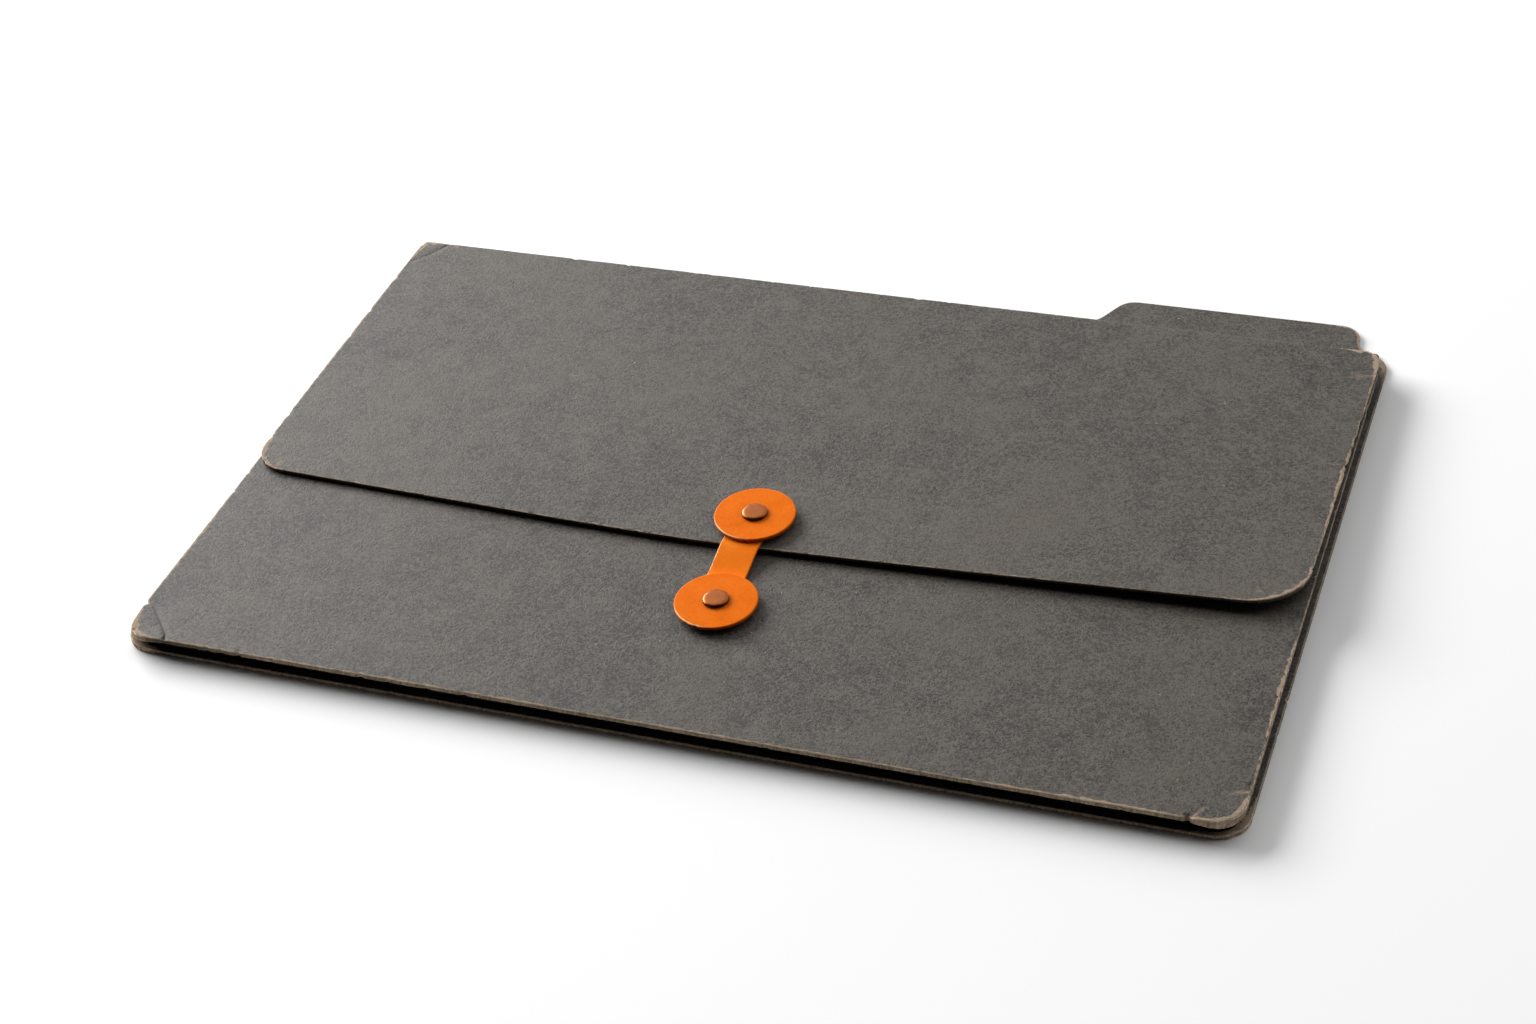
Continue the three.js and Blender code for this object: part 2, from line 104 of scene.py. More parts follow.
def add(tree, kind, inputs=None, **settings):
    """Adds a shader node. Each input is a value, an output socket, or a node for its first live output."""
    made = tree.nodes.new("ShaderNode" + kind)
    for name, value in settings.items():
        setattr(made, name, value)
    for key, value in (inputs or {}).items():
        if isinstance(value, bpy.types.Node):
            value = next(s for s in value.outputs if s.enabled)
        if isinstance(value, bpy.types.NodeSocket):
            tree.links.new(value, made.inputs[key])
        else:
            made.inputs[key].default_value = value
    return made


def new_finish(name):
    """An empty material, and its node tree."""
    finish = bpy.data.materials.new(name)
    finish.use_nodes = True
    finish.node_tree.nodes.clear()
    return finish, finish.node_tree


def placed(mesh):
    """The mesh as an object in the scene."""
    piece = bpy.data.objects.new(mesh.name, mesh)
    bpy.context.scene.collection.objects.link(piece)
    return piece


def seamless_paper():
    """Matt white paper. The camera sees it as white, and it still takes the wallet's shadow."""
    finish, tree = new_finish("white_seamless_paper")
    rays = add(tree, "LightPath")
    seen = add(tree, "Math", {0: rays.outputs["Is Camera Ray"], 1: rays.outputs["Is Glossy Ray"]},
               operation="MAXIMUM")
    lit = add(tree, "BsdfDiffuse", {"Color": linear("f4f4f4")})
    shown = add(tree, "BsdfDiffuse", {"Color": linear("ffffff")})
    mixed = add(tree, "MixShader", {0: seen, 1: lit, 2: shown})
    add(tree, "OutputMaterial", {"Surface": mixed})
    return finish


half_side = PAPER_SIDE / 2
paper_mesh = bpy.data.meshes.new("table_paper")
paper_mesh.from_pydata(
    [(half_side * x, half_side * y, -PAPER_DEPTH) for x, y in ((-1, -1), (1, -1), (1, 1), (-1, 1))],
    [], [(0, 1, 2, 3)],
)
paper_mesh.materials.append(seamless_paper())
placed(paper_mesh)

room = bpy.data.worlds.new("white_room")
room.use_nodes = True
room_tree = room.node_tree
room_tree.nodes.clear()
room_rays = add(room_tree, "LightPath")
room_side = add(room_tree, "SeparateXYZ", {0: add(room_tree, "TexCoord").outputs["Generated"]})
room_fill = add(room_tree, "MapRange", {
    "Value": room_side.outputs["Y"], "From Min": 0.0, "From Max": ROOM_EDGE,
    "To Min": ROOM_DARK, "To Max": ROOM_BRIGHT,
}, interpolation_type="SMOOTHSTEP")
room_light = add(room_tree, "Mix", {
    0: room_rays.outputs["Is Camera Ray"], 2: room_fill, 3: 1.0,
}, data_type="FLOAT")
room_white = add(room_tree, "Background", {"Color": linear("ffffff"), "Strength": room_light})
add(room_tree, "OutputWorld", {"Surface": room_white})
bpy.context.scene.world = room

soft_box_data = bpy.data.lights.new("soft_box", "AREA")
soft_box_data.shape = "RECTANGLE"
soft_box_data.size = SOFT_BOX_WIDTH
soft_box_data.size_y = SOFT_BOX_HEIGHT
soft_box_data.energy = SOFT_BOX_WATTS
soft_box = bpy.data.objects.new("soft_box", soft_box_data)
soft_box.matrix_world = (
    Matrix.Translation(SOFT_BOX_PLACE) @ SOFT_BOX_PLACE.to_track_quat("Z", "Y").to_matrix().to_4x4()
)
bpy.context.scene.collection.objects.link(soft_box)

# Back board, in one piece with the index tab. It is pressboard: cotton and wood fibre pressed hard, black
# on the outside and tan in its core, and it was stamped out with a steel rule die. Years of use have rubbed
# its edges through to the core, swollen its corners and nicked its rim.
OUTLINE_STEP = 0.8
ARC_PIECES = 16
HOLE_STEPS = 48
# The rows of mesh points inside an edge, as a depth in mm and one point in how many, and the grid further in
EDGE_ROWS = ((0.35, 1), (0.8, 1), (1.5, 2), (2.6, 3), (4.2, 4))
BOARD_GRID = 5.0
MARK_LINES = (-1, -0.5, 0, 0.5, 1)
# How near to the edge, or to a hole's rim, such a point may be: a share of its row's depth, mm, a share
ROW_CLEAR, MARK_CLEAR, HOLE_CLEAR = 0.96, 0.15, 1.1
SAME_POINT, SLIVER = 1e-4, 1e-9
BOARD_ARRIS = 0.24
NICK_COUNT, NICK_REACH = 70, 3.0
NICK_WIDTH, NICK_DEPTH = (0.7, 2.2), (0.1, 0.5)
FRAY_DEPTH, FRAY_SPAN, FRAY_DRIFT, FRAY_DRIFT_SPAN = 0.11, 1.7, 0.6, 7.0
# What a worn rim does for each mm of bite: its face sinks, and it is rubbed bare further in
EDGE_SINK, EDGE_BARED = 0.35, 0.9
# The rim's rows from top to bottom: how far it bulges and how far down it lies, both as shares of the arris
# (0 is halfway down, and below 0 is up from the bottom), then how much the row counts as cut wall
RIM_ROWS = ((0.6, 0.25, 0.3), (0.97, 0.9, 0.6), (1.0, 0.0, 1.0), (0.95, -0.6, 0.8), (0.7, -0.15, 0.6))
RIM_OUTSIDE = -0.2
RIM_RAGGED, RIM_RAGGED_SPAN = 0.06, 0.9
MARK_FADE = 0.6
CORNER_FRONT_LEFT, CORNER_FRONT_RIGHT = 8, 10
TAB_REACH = 15.8
TAB_RIGHT, TAB_LEFT, TAB_SLANT, TAB_CORNER = 176.3, 89, 8.1, 7.5
TAB_ROOT_LEFT, TAB_ROOT_RIGHT = 8, 7.8
BACK_REAR_LEFT, BACK_REAR_RIGHT = 4, 8.5


def box_mm(node):
    """A CAD node's lowest and highest corners in mm."""
    low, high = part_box(node)
    return low / MM, high / MM


def rounded(corners, step=OUTLINE_STEP):
    """An outline through corners (x, y, radius), anticlockwise, as points a step apart."""
    path = []
    for i, (x, y, radius) in enumerate(corners):
        corner = Vector((x, y))
        to_last = (Vector(corners[i - 1][:2]) - corner).normalized()
        to_next = (Vector(corners[(i + 1) % len(corners)][:2]) - corner).normalized()
        half = math.acos(max(-1, min(1, to_last.dot(to_next)))) / 2
        if radius == 0:
            path.append(corner)
            continue
        centre = corner + (to_last + to_next).normalized() * radius / math.sin(half)
        start = corner + to_last * radius / math.tan(half) - centre
        end = corner + to_next * radius / math.tan(half) - centre
        turn = math.atan2(start.cross(end), start.dot(end))
        for k in range(ARC_PIECES + 1):
            path.append(centre + Matrix.Rotation(turn * k / ARC_PIECES, 2) @ start)
    path = np.array([tuple(p) for p in path])
    return evenly(np.vstack([path, path[:1]]), step)


def evenly(path, step):
    """Points a step apart along a path."""
    run = np.concatenate([[0], np.cumsum(np.linalg.norm(np.diff(path, axis=0), axis=1))])
    places = np.linspace(0, run[-1], max(2, round(run[-1] / step)), endpoint=False)
    return np.stack([np.interp(places, run, path[:, k]) for k in (0, 1)], 1)


def nearest(points, rim):
    """Each point's distance inside a closed rim in mm (below 0 is outside) and its nearest rim point."""
    tree = KDTree(len(rim))
    for i, (x, y) in enumerate(rim):
        tree.insert((x, y, 0), i)
    tree.balance()
    index = np.array([tree.find((x, y, 0))[1] for x, y in points])
    distance = np.full(len(points), 1e9)
    for first in (index, index - 1):
        start, end = rim[first % len(rim)], rim[(first + 1) % len(rim)]
        along = end - start
        share = np.clip(((points - start) * along).sum(1) / (along * along).sum(1), 0, 1)
        distance = np.minimum(distance, np.linalg.norm(points - start - along * share[:, None], axis=1))
    inward = inward_of(rim)[index]
    side = ((points - rim[index]) * inward).sum(1)
    return np.where(side >= -1e-6, distance, -distance), index


def inward_of(rim):
    """The unit normals of an anticlockwise rim, pointing in."""
    along = np.roll(rim, -1, 0) - np.roll(rim, 1, 0)
    inward = np.stack([-along[:, 1], along[:, 0]], 1)
    return inward / np.linalg.norm(inward, axis=1)[:, None]


def within(points, rim):
    """Whether each point lies inside a closed rim, by how often the rim passes it on one side."""
    inside = np.zeros(len(points), bool)
    x, y = points[:, 0], points[:, 1]
    for (x0, y0), (x1, y1) in zip(rim, np.roll(rim, -1, 0)):
        if y0 != y1:
            inside ^= ((y0 > y) != (y1 > y)) & (x < x0 + (y - y0) * (x1 - x0) / (y1 - y0))
    return inside


def die_cut(outline, holes=(), marks=(), rows=EDGE_ROWS, grid=BOARD_GRID):
    """A flat sheet cut to an outline in mm, its points closest at the edge and along its marks.

    Returns its points, its triangles, and each point's distance from the edge and nearest edge point."""
    inward = inward_of(outline)
    sets = [outline]
    for depth, keep in rows:
        row = (outline + inward * depth)[::keep]
        sets.append(row[nearest(row, outline)[0] > ROW_CLEAR * depth])
    low, high = outline.min(0), outline.max(0)
    columns = np.arange(low[0] + grid / 2, high[0], grid)
    lines = np.arange(low[1] + grid / 2, high[1], grid * math.sqrt(3) / 2)
    field = np.array([(x + (j % 2) * grid / 2, y) for j, y in enumerate(lines) for x in columns])
    sets.append(field[nearest(field, outline)[0] > rows[-1][0] + grid / 3])
    for mark in marks:
        path = evenly(np.array(mark["path"], float), OUTLINE_STEP)
        across = np.gradient(path, axis=0)[:, ::-1] * (1, -1)
        across = across / np.linalg.norm(across, axis=1)[:, None]
        for share in MARK_LINES:
            line = path + across * share * mark["width"]
            sets.append(line[nearest(line, outline)[0] > MARK_CLEAR])
    edges = [(i, (i + 1) % len(outline)) for i in range(len(outline))]
    for x, y, radius in holes:
        sets[1:] = [s[np.hypot(s[:, 0] - x, s[:, 1] - y) > radius * HOLE_CLEAR] for s in sets[1:]]
        first = sum(len(s) for s in sets)
        turns = np.arange(HOLE_STEPS) * 2 * math.pi / HOLE_STEPS
        sets.append(np.stack([x + radius * np.cos(turns), y + radius * np.sin(turns)], 1))
        edges += [(first + i, first + (i + 1) % HOLE_STEPS) for i in range(HOLE_STEPS)]
    cut = delaunay_2d_cdt([Vector(p) for p in np.vstack(sets)], edges, [], 1, SAME_POINT, False)
    points = np.array([tuple(p) for p in cut[0]])
    triangles = np.array(cut[2])
    centres = points[triangles].mean(1)
    kept = within(centres, outline)
    for x, y, radius in holes:
        kept &= np.hypot(*(centres - (x, y)).T) > radius
    triangles = triangles[kept]
    a, b, c = (points[triangles[:, k]] for k in range(3))
    area = (b[:, 0] - a[:, 0]) * (c[:, 1] - a[:, 1]) - (b[:, 1] - a[:, 1]) * (c[:, 0] - a[:, 0])
    triangles = triangles[np.abs(area) > SLIVER]
    area = area[np.abs(area) > SLIVER]
    triangles[area < 0] = triangles[area < 0][:, ::-1]
    distance, index = nearest(points, outline)
    return points, triangles, distance, index


def speckle(points, size, seed):
    """Smooth noise from -1 to 1 whose lumps are about as large as the size, in mm."""
    return np.array([noise.noise(Vector((x / size, y / size, seed))) for x, y in points])


def drifting(points, base, drift, span, seed):
    """A value that drifts to both sides of its base from place to place."""
    return base + drift * speckle(points, span, seed)


def ramp(values, start, end):
    """0 up to the start and 1 from the end on, straight between them."""
    return np.clip((values - start) / (end - start), 0, 1)


def eased(share):
    """A share from 0 to 1 that sets out and arrives gently."""
    return share * share * (3 - 2 * share)


def near(points, x, y, radius):
    """1 at a place, falling smoothly to 0 at a radius round it."""
    return eased(ramp(np.hypot(points[:, 0] - x, points[:, 1] - y), radius, 0))


def spots(points, places):
    """What lies at each place (x, y, reach, amount) added up, each fading to 0 at its reach."""
    here = np.zeros(len(points))
    for x, y, reach, amount in places:
        here = here + amount * near(points, x, y, reach)
    return here


def scar(path, width, depth=0.0, pale=0.0, dark=0.0):
    """A crease or rub along a path: its width and depth in mm, how pale it is, and how dark its painted shade
    is.
    """
    return {"path": path, "width": width, "depth": depth, "pale": pale, "dark": dark}


def along_mark(points, mark):
    """1 on a mark's path and 0 at its width from it, fading towards its last point."""
    path = evenly(np.array(mark["path"], float), OUTLINE_STEP / 2)
    tree = KDTree(len(path))
    for i, (x, y) in enumerate(path):
        tree.insert((x, y, 0), i)
    tree.balance()
    found = [tree.find((x, y, 0)) for x, y in points]
    distance = np.array([f[2] for f in found])
    share = np.array([f[1] for f in found]) / len(path)
    return ramp(distance, mark["width"], 0) * (1 - MARK_FADE * share)


def used_edge(outline, seed, nicks=(), fray=FRAY_DEPTH, count=NICK_COUNT):
    """How far in the rim is worn at each outline point, in mm: frayed all along, nicked here and there."""
    bite = fray * drifting(outline, 0.5, 1, FRAY_SPAN, seed)
    bite = bite + fray * drifting(outline, 0, FRAY_DRIFT, FRAY_DRIFT_SPAN, seed + 5)
    chance = random.Random(seed)
    places = []
    for _ in range(count):
        place = outline[chance.randrange(len(outline))]
        places.append((*place, chance.uniform(*NICK_WIDTH), chance.uniform(*NICK_DEPTH)))
    for x, y, width, depth in [*places, *nicks]:
        bite = np.maximum(bite, depth * near(outline, x, y, width))
    return np.clip(bite, 0, None)


def stamped(name, cut, outline, top, bottom, arris, bite, wear_and_highlight, body, node, finish,
            marks=(), soft=(), torn=None, place=None):
    """A closed mesh of a die-cut sheet between two heights, with a worn rim and rounded arrises.

    top and bottom give heights in mm for points. wear_and_highlight gives how wide the edge is rubbed bare in
    mm, and on the fibre pieces how wide the rim's painted highlight is; torn how bare its wall is from 0 to
    1, and soft the places where the rim is worn rounder than the rest."""
    points, triangles, distance, index = cut
    rounder = spots(outline, soft)
    bite = bite + rounder
    reach = ramp(distance, NICK_REACH, 0) ** 2
    shifted = points + inward_of(outline)[index] * (bite[index] * reach)[:, None]
    on_marks = [(m, along_mark(points, m)) for m in marks]
    upper = top(points) - sum(m["depth"] * on for m, on in on_marks) - EDGE_SINK * bite[index] * reach
    lower = bottom(points)
    count = len(points)

    half_edges = np.concatenate([triangles[:, [0, 1]], triangles[:, [1, 2]], triangles[:, [2, 0]]])
    there = {tuple(e) for e in half_edges.tolist()}
    rim = [(a, b) for a, b in half_edges.tolist() if (b, a) not in there]
    following = dict(rim)
    before = {b: a for a, b in rim}
    ring = sorted(following)
    at = {v: i for i, v in enumerate(ring)}
    size = len(ring)
    ahead = shifted[[following[v] for v in ring]] - shifted[[before[v] for v in ring]]
    outward = np.stack([ahead[:, 1], -ahead[:, 0]], 1)
    outward = outward / np.maximum(np.linalg.norm(outward, axis=1), 1e-9)[:, None]
    thickness = (upper - lower)[ring]
    round_mm = arris + rounder[index[ring]]
    vertices = [np.column_stack([shifted, upper]), np.column_stack([shifted, lower])]
    for k, (out, down, _) in enumerate(RIM_ROWS):
        drop = down * np.minimum(round_mm, thickness / 2)
        if down == 0:
            drop = thickness / 2
        elif down < 0:
            drop = thickness + drop
        ragged = RIM_RAGGED * arris * speckle(shifted[ring], RIM_RAGGED_SPAN, 11 + k)
        wall = shifted[ring] + outward * (round_mm * out + ragged)[:, None]
        vertices.append(np.column_stack([wall, upper[ring] - drop]))

    faces = [tuple(t) for t in triangles.tolist()]
    faces += [(a + count, c + count, b + count) for a, b, c in triangles.tolist()]
    rows = len(RIM_ROWS)
    firsts = [2 * count + k * size for k in range(rows)]
    levels = [ring, *[range(first, first + size) for first in firsts], [v + count for v in ring]]
    for high, low in zip(levels, levels[1:]):
        faces += [(high[at[a]], low[at[a]], low[at[b]], high[at[b]]) for a, b in rim]
    mesh = bpy.data.meshes.new(name)
    mesh.from_pydata(np.vstack(vertices) * MM, [], faces)

    # On the fibre pieces this is the width of the rim's painted highlight rather than wear
    worn = wear_and_highlight(points) + EDGE_BARED * bite[index] * reach
    wall_torn = torn(points) if torn else np.zeros(count)
    pale, dark = (
        np.max([np.zeros(count), *(m[key] * on for m, on in on_marks)], 0) for key in ("pale", "dark")
    )
    for key, flat, wall in (
        ("edge_mm", np.clip(distance, 0, None), np.full(rows * size, RIM_OUTSIDE)),
        ("wall", np.zeros(count), np.repeat([share for *_, share in RIM_ROWS], size)),
        ("wear_and_highlight_mm", worn, np.tile(worn[ring], rows)),
        ("torn", wall_torn, np.tile(wall_torn[ring], rows)),
        ("pale", pale, np.tile(pale[ring], rows)),
        ("dark", dark, np.tile(dark[ring], rows)),
    ):
        values = np.concatenate([flat, flat, wall]).astype(np.float32)
        mesh.attributes.new(key, "FLOAT", "POINT").data.foreach_set("value", values)
    mesh.shade_smooth()
    mesh.materials.append(finish)
    if place is not None:
        mesh.transform(place)
    piece = placed(mesh)
    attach(piece, body)
    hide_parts(node)


def scale_of(size_mm):
    """The scale of a pattern whose lumps or cells are about as large as the size."""
    return 1 / (size_mm * MM)


# Sizes in pressboard's look, in mm: how tightly its fibres curl, each kind of strand as size, line width and
# offset, the grain between them, and the larger blotches and clouds of the dye. A single fibre is too fine to
# show, so what is drawn is the curls that they form together.
CURL_MM, CURL_PUSH_MM = 1.7, 1.8
STRANDS = ((1.5, 0.12, 0.0), (1.0, 0.13, 0.31))
GRAIN_MM, STRAND_BREAK_MM, FLECK_MM = 0.7, 2.0, 8
BLOTCH_MM, CLOUD_MM = 10, 60
BARE_EDGE_MM, TORN_MM, LAYER_MM, LAYER_STRETCH, TUFT_MM = 4, 0.6, 2.2, 9, 1.6
PRESS_RELIEF_MM = 0.08


def calendered_pressboard():
    """Pressboard, pressed between hot rollers: a charcoal coat in which curled fibres show paler, with a
    faint sheen, and a matt tan core where it is rubbed bare."""
    finish, tree = new_finish("calendered_pressboard")
    place = add(tree, "TexCoord").outputs["Object"]
    read = {key: add(tree, "Attribute", attribute_name=key).outputs["Fac"]
            for key in ("edge_mm", "wear_and_highlight_mm", "wall", "pale", "dark", "torn")}
    # The felted fibres bend round each other, so their pattern is drawn on a place that noise has pushed
    push = add(tree, "TexNoise", {"Vector": place, "Scale": scale_of(CURL_MM), "Detail": 2.0})
    centred = add(tree, "VectorMath", {0: push.outputs["Color"], 1: (0.5, 0.5, 0.5)}, operation="SUBTRACT")
    felted = add(tree, "VectorMath", {0: centred, 1: (CURL_PUSH_MM * MM,) * 3, 2: place},
                 operation="MULTIPLY_ADD")
    strands = []
    for size, line_width, apart in STRANDS:
        shifted = add(tree, "VectorMath", {0: felted, 1: (apart, apart, 0)}, operation="ADD")
        lump = add(tree, "TexNoise", {"Vector": shifted, "Scale": scale_of(size), "Detail": 1.0})
        off_line = add(tree, "Math", {0: lump, 1: 0.5}, operation="SUBTRACT")
        off_line = add(tree, "Math", {0: off_line}, operation="ABSOLUTE")
        strands.append(add(tree, "MapRange", {
            "Value": off_line, "From Min": 0.0, "From Max": line_width, "To Min": 1.0, "To Max": 0.0,
        }, interpolation_type="SMOOTHSTEP"))
    both = add(tree, "Math", {0: strands[0], 1: strands[1]}, operation="ADD")
    broken = add(tree, "TexNoise", {"Vector": place, "Scale": scale_of(STRAND_BREAK_MM), "Detail": 1.0})
    broken = add(tree, "MapRange", {"Value": broken, "From Min": 0.36, "From Max": 0.6, "To Min": 0.5})
    both = add(tree, "Math", {0: both, 1: broken}, operation="MULTIPLY")
    # The coat's tone: strands and grain, over blotches and clouds of uneven dye, some of them warmer
    blotches = add(tree, "TexNoise", {"Vector": place, "Scale": scale_of(BLOTCH_MM), "Detail": 4.0})
    clouds = add(tree, "TexNoise", {"Vector": place, "Scale": scale_of(CLOUD_MM), "Detail": 3.0})
    grain = add(tree, "TexNoise", {"Vector": felted, "Scale": scale_of(GRAIN_MM), "Detail": 1.0})
    tone = add(tree, "Math", {0: both, 1: 0.8, 2: -1.51}, operation="MULTIPLY_ADD")
    for lumps, share in ((blotches, 1.1), (clouds, 0.8), (grain, 1.3)):
        tone = add(tree, "Math", {0: lumps, 1: share, 2: tone}, operation="MULTIPLY_ADD")
    coat = add(tree, "Mix", {0: tone, 6: linear("26221e"), 7: linear("5a544c")}, data_type="RGBA")
    warm = add(tree, "MapRange", {"Value": clouds, "From Min": 0.5, "From Max": 0.75, "To Max": 0.35})
    coat = add(tree, "Mix", {0: warm, 6: coat, 7: linear("50453b")}, data_type="RGBA")
    # A few short fibres that took no dye lie on top as pale flecks
    flecks = add(tree, "TexVoronoi", {"Vector": felted, "Scale": scale_of(FLECK_MM)}, feature="F1")
    fleck = add(tree, "MapRange", {
        "Value": flecks.outputs["Distance"], "From Min": 0.02, "From Max": 0.05, "To Min": 0.6, "To Max": 0.0,
    })
    coat = add(tree, "Mix", {0: fleck, 6: coat, 7: linear("a39b8e")}, data_type="RGBA")
    # The core, rubbed smooth on the face and torn into upright tufts on the wall
    core = add(tree, "Mix", {0: grain, 6: linear("7d6a57"), 7: linear("bfac97")}, data_type="RGBA")
    upright = add(tree, "Mapping", {"Vector": place, "Scale": (1, 1, 0.3)})
    tufts = add(tree, "TexNoise", {"Vector": upright, "Scale": scale_of(TORN_MM), "Detail": 3.0})
    tufts = add(tree, "MapRange", {"Value": tufts, "From Min": 0.3, "From Max": 0.7})
    torn_core = add(tree, "Mix", {0: tufts, 6: linear("7a664e"), 7: linear("d6c0a4")}, data_type="RGBA")
    core = add(tree, "Mix", {0: read["wall"], 6: core, 7: torn_core}, data_type="RGBA")
    # The core shows up to a ragged line, farther in where the edge is rubbed more
    ragged = add(tree, "TexNoise", {
        "Vector": place, "Scale": scale_of(BARE_EDGE_MM), "Detail": 5.0, "Roughness": 0.65,
    })
    spread = add(tree, "MapRange", {
        "Value": ragged, "From Min": 0.3, "From Max": 0.7, "To Min": 0.15, "To Max": 1.7,
    })
    width = add(tree, "Math", {0: read["wear_and_highlight_mm"], 1: spread}, operation="MULTIPLY")
    left = add(tree, "Math", {0: width, 1: read["edge_mm"]}, operation="SUBTRACT")
    bare = add(tree, "MapRange", {"Value": left, "From Min": -0.12, "From Max": 0.3},
               interpolation_type="SMOOTHSTEP")
    # On the wall it shows in layers, and all over where the wall is torn
    layered = add(tree, "Mapping", {"Vector": place, "Scale": (1, 1, LAYER_STRETCH)})
    layers = add(tree, "TexNoise", {"Vector": layered, "Scale": scale_of(LAYER_MM), "Detail": 3.0})
    wall_bare = add(tree, "Math", {0: layers, 1: read["wear_and_highlight_mm"], 2: -0.35}, operation="MULTIPLY_ADD")
    wall_bare = add(tree, "Math", {0: read["torn"], 1: 1.1, 2: wall_bare}, operation="MULTIPLY_ADD",
                    use_clamp=True)
    bare = add(tree, "Mix", {0: read["wall"], 2: bare, 3: wall_bare}, data_type="FLOAT")
    bare = add(tree, "Math", {0: bare, 1: read["pale"]}, operation="MAXIMUM", use_clamp=True)
    colour = add(tree, "Mix", {0: bare, 6: coat, 7: core}, data_type="RGBA")
    # The arris is rubbed to a thin pale line that comes and goes, with frayed tufts
    off_arris = add(tree, "Math", {0: read["wall"], 1: 0.35}, operation="SUBTRACT")
    off_arris = add(tree, "Math", {0: off_arris}, operation="ABSOLUTE")
    line = add(tree, "MapRange", {
        "Value": off_arris, "From Min": 0.08, "From Max": 0.26, "To Min": 1.0, "To Max": 0.0,
    })
    frayed = add(tree, "TexNoise", {"Vector": place, "Scale": scale_of(TUFT_MM), "Detail": 3.0})
    frayed = add(tree, "Math", {0: frayed, 1: ragged}, operation="MULTIPLY")
    frayed = add(tree, "MapRange", {"Value": frayed, "From Min": 0.17, "From Max": 0.33, "To Min": 0.1})
    line = add(tree, "Math", {0: line, 1: frayed}, operation="MULTIPLY")
    rubbed = add(tree, "MapRange", {"Value": read["wear_and_highlight_mm"], "From Min": 0.0, "From Max": 0.6})
    line = add(tree, "Math", {0: line, 1: rubbed}, operation="MULTIPLY")
    colour = add(tree, "Mix", {0: line, 6: colour, 7: linear("e6d9c6")}, data_type="RGBA")
    # Painted shade where it is marked dark: in creases and splits, and under the flap at the back board's
    # right rear
    shade_and_dark_marks = add(tree, "Math", {0: read["dark"], 1: 0.85}, operation="MULTIPLY", use_clamp=True)
    colour = add(tree, "Mix", {0: shade_and_dark_marks, 6: colour, 7: linear("1c1814")}, data_type="RGBA")
    # The pressed face has a faint sheen, and the torn fibre none
    bare = add(tree, "Math", {0: bare, 1: line}, operation="MAXIMUM")
    matt = add(tree, "Math", {0: bare, 1: read["wall"]}, operation="MAXIMUM", use_clamp=True)
    height = add(tree, "Math", {0: both, 1: 0.6, 2: grain}, operation="MULTIPLY_ADD")
    height = add(tree, "Math", {0: blotches, 1: 1.2, 2: height}, operation="MULTIPLY_ADD")
    relief = add(tree, "Bump", {"Height": height, "Strength": 0.8, "Distance": PRESS_RELIEF_MM * MM})
    pressed = add(tree, "BsdfPrincipled", {
        "Base Color": colour, "Roughness": 0.64, "IOR": 1.5, "Specular IOR Level": 0.38, "Normal": relief,
    })
    fibrous = add(tree, "BsdfPrincipled", {
        "Base Color": colour, "Roughness": 0.95, "IOR": 1.5, "Specular IOR Level": 0.03, "Normal": relief,
    })
    surface = add(tree, "MixShader", {0: matt, 1: pressed, 2: fibrous})
    add(tree, "OutputMaterial", {"Surface": surface})
    return finish


pressboard = calendered_pressboard()
back_low, back_high = box_mm("back_board")
back_rear = back_high.y - TAB_REACH
back_outline = rounded([
    (back_low.x, back_low.y, CORNER_FRONT_LEFT), (back_high.x, back_low.y, CORNER_FRONT_RIGHT),
    (back_high.x, back_rear, BACK_REAR_RIGHT), (TAB_RIGHT, back_rear, TAB_ROOT_RIGHT),
    (TAB_RIGHT, back_high.y, TAB_CORNER), (TAB_LEFT, back_high.y, TAB_CORNER),
    (TAB_LEFT - TAB_SLANT, back_rear, TAB_ROOT_LEFT), (back_low.x, back_rear, BACK_REAR_LEFT),
])
back_face = back_outline + inward_of(back_outline) * BOARD_ARRIS
# The board's damage as places (x, y, reach, amount): how much its face is swollen, how wide its edge is
# rubbed bare, and how round its rim is worn, all in mm
BACK_SWOLLEN = ((-188, -124, 16, 2.1), (-180, -131, 9, 0.5), (186, -130, 13, 0.5), (187, 114, 12, 0.15))
BACK_RUBBED = (
    (-187, -131, 16, 3.0), (187, -131, 20, 3.2), (173, 131, 16, 0.9), (186, 114, 15, 4.5), (90, 131, 10, 0.3),
    (-187, 115, 12, 1.2),
)
# A value that drifts from place to place, as its base, how far it drifts to both sides, its span in mm and
# its seed
BACK_EDGE_WEAR = 0.2, 0.12, 30, 3
BACK_GUARDED, GUARD_SHARE = (100, 110), 0.8
FRONT_WALL = -129, -131
BACK_TORN_LEFT, BACK_TORN_LEAST = (-178, -158), 0.3
BACK_FRAY, BACK_NICKS, BACK_SEED = 0.4 * FRAY_DEPTH, 12, 3
BACK_ROUNDED = ((-188, -130, 12, 0.45), (187, -131, 14, 0.35), (187, 114, 9, 0.3))
# Painted shade in the gap under the flap along the back board's right rear, and a darker worn corner behind
# the spine
BACK_SHADE_AND_DARK_CORNER = scar([(187.5, 92.0), (187.2, 104.0), (184.5, 112.5), (178.0, 116.5)], 9, dark=0.75)


def back_top(points):
    return back_high.z + spots(points, BACK_SWOLLEN)


def back_bottom(points):
    return np.full(len(points), back_low.z)


def back_wear(points):
    """Little along the rear, which the flap's crease guards."""
    guard = 1 - GUARD_SHARE * ramp(points[:, 1], *BACK_GUARDED)
    return drifting(points, *BACK_EDGE_WEAR) * guard + spots(points, BACK_RUBBED)


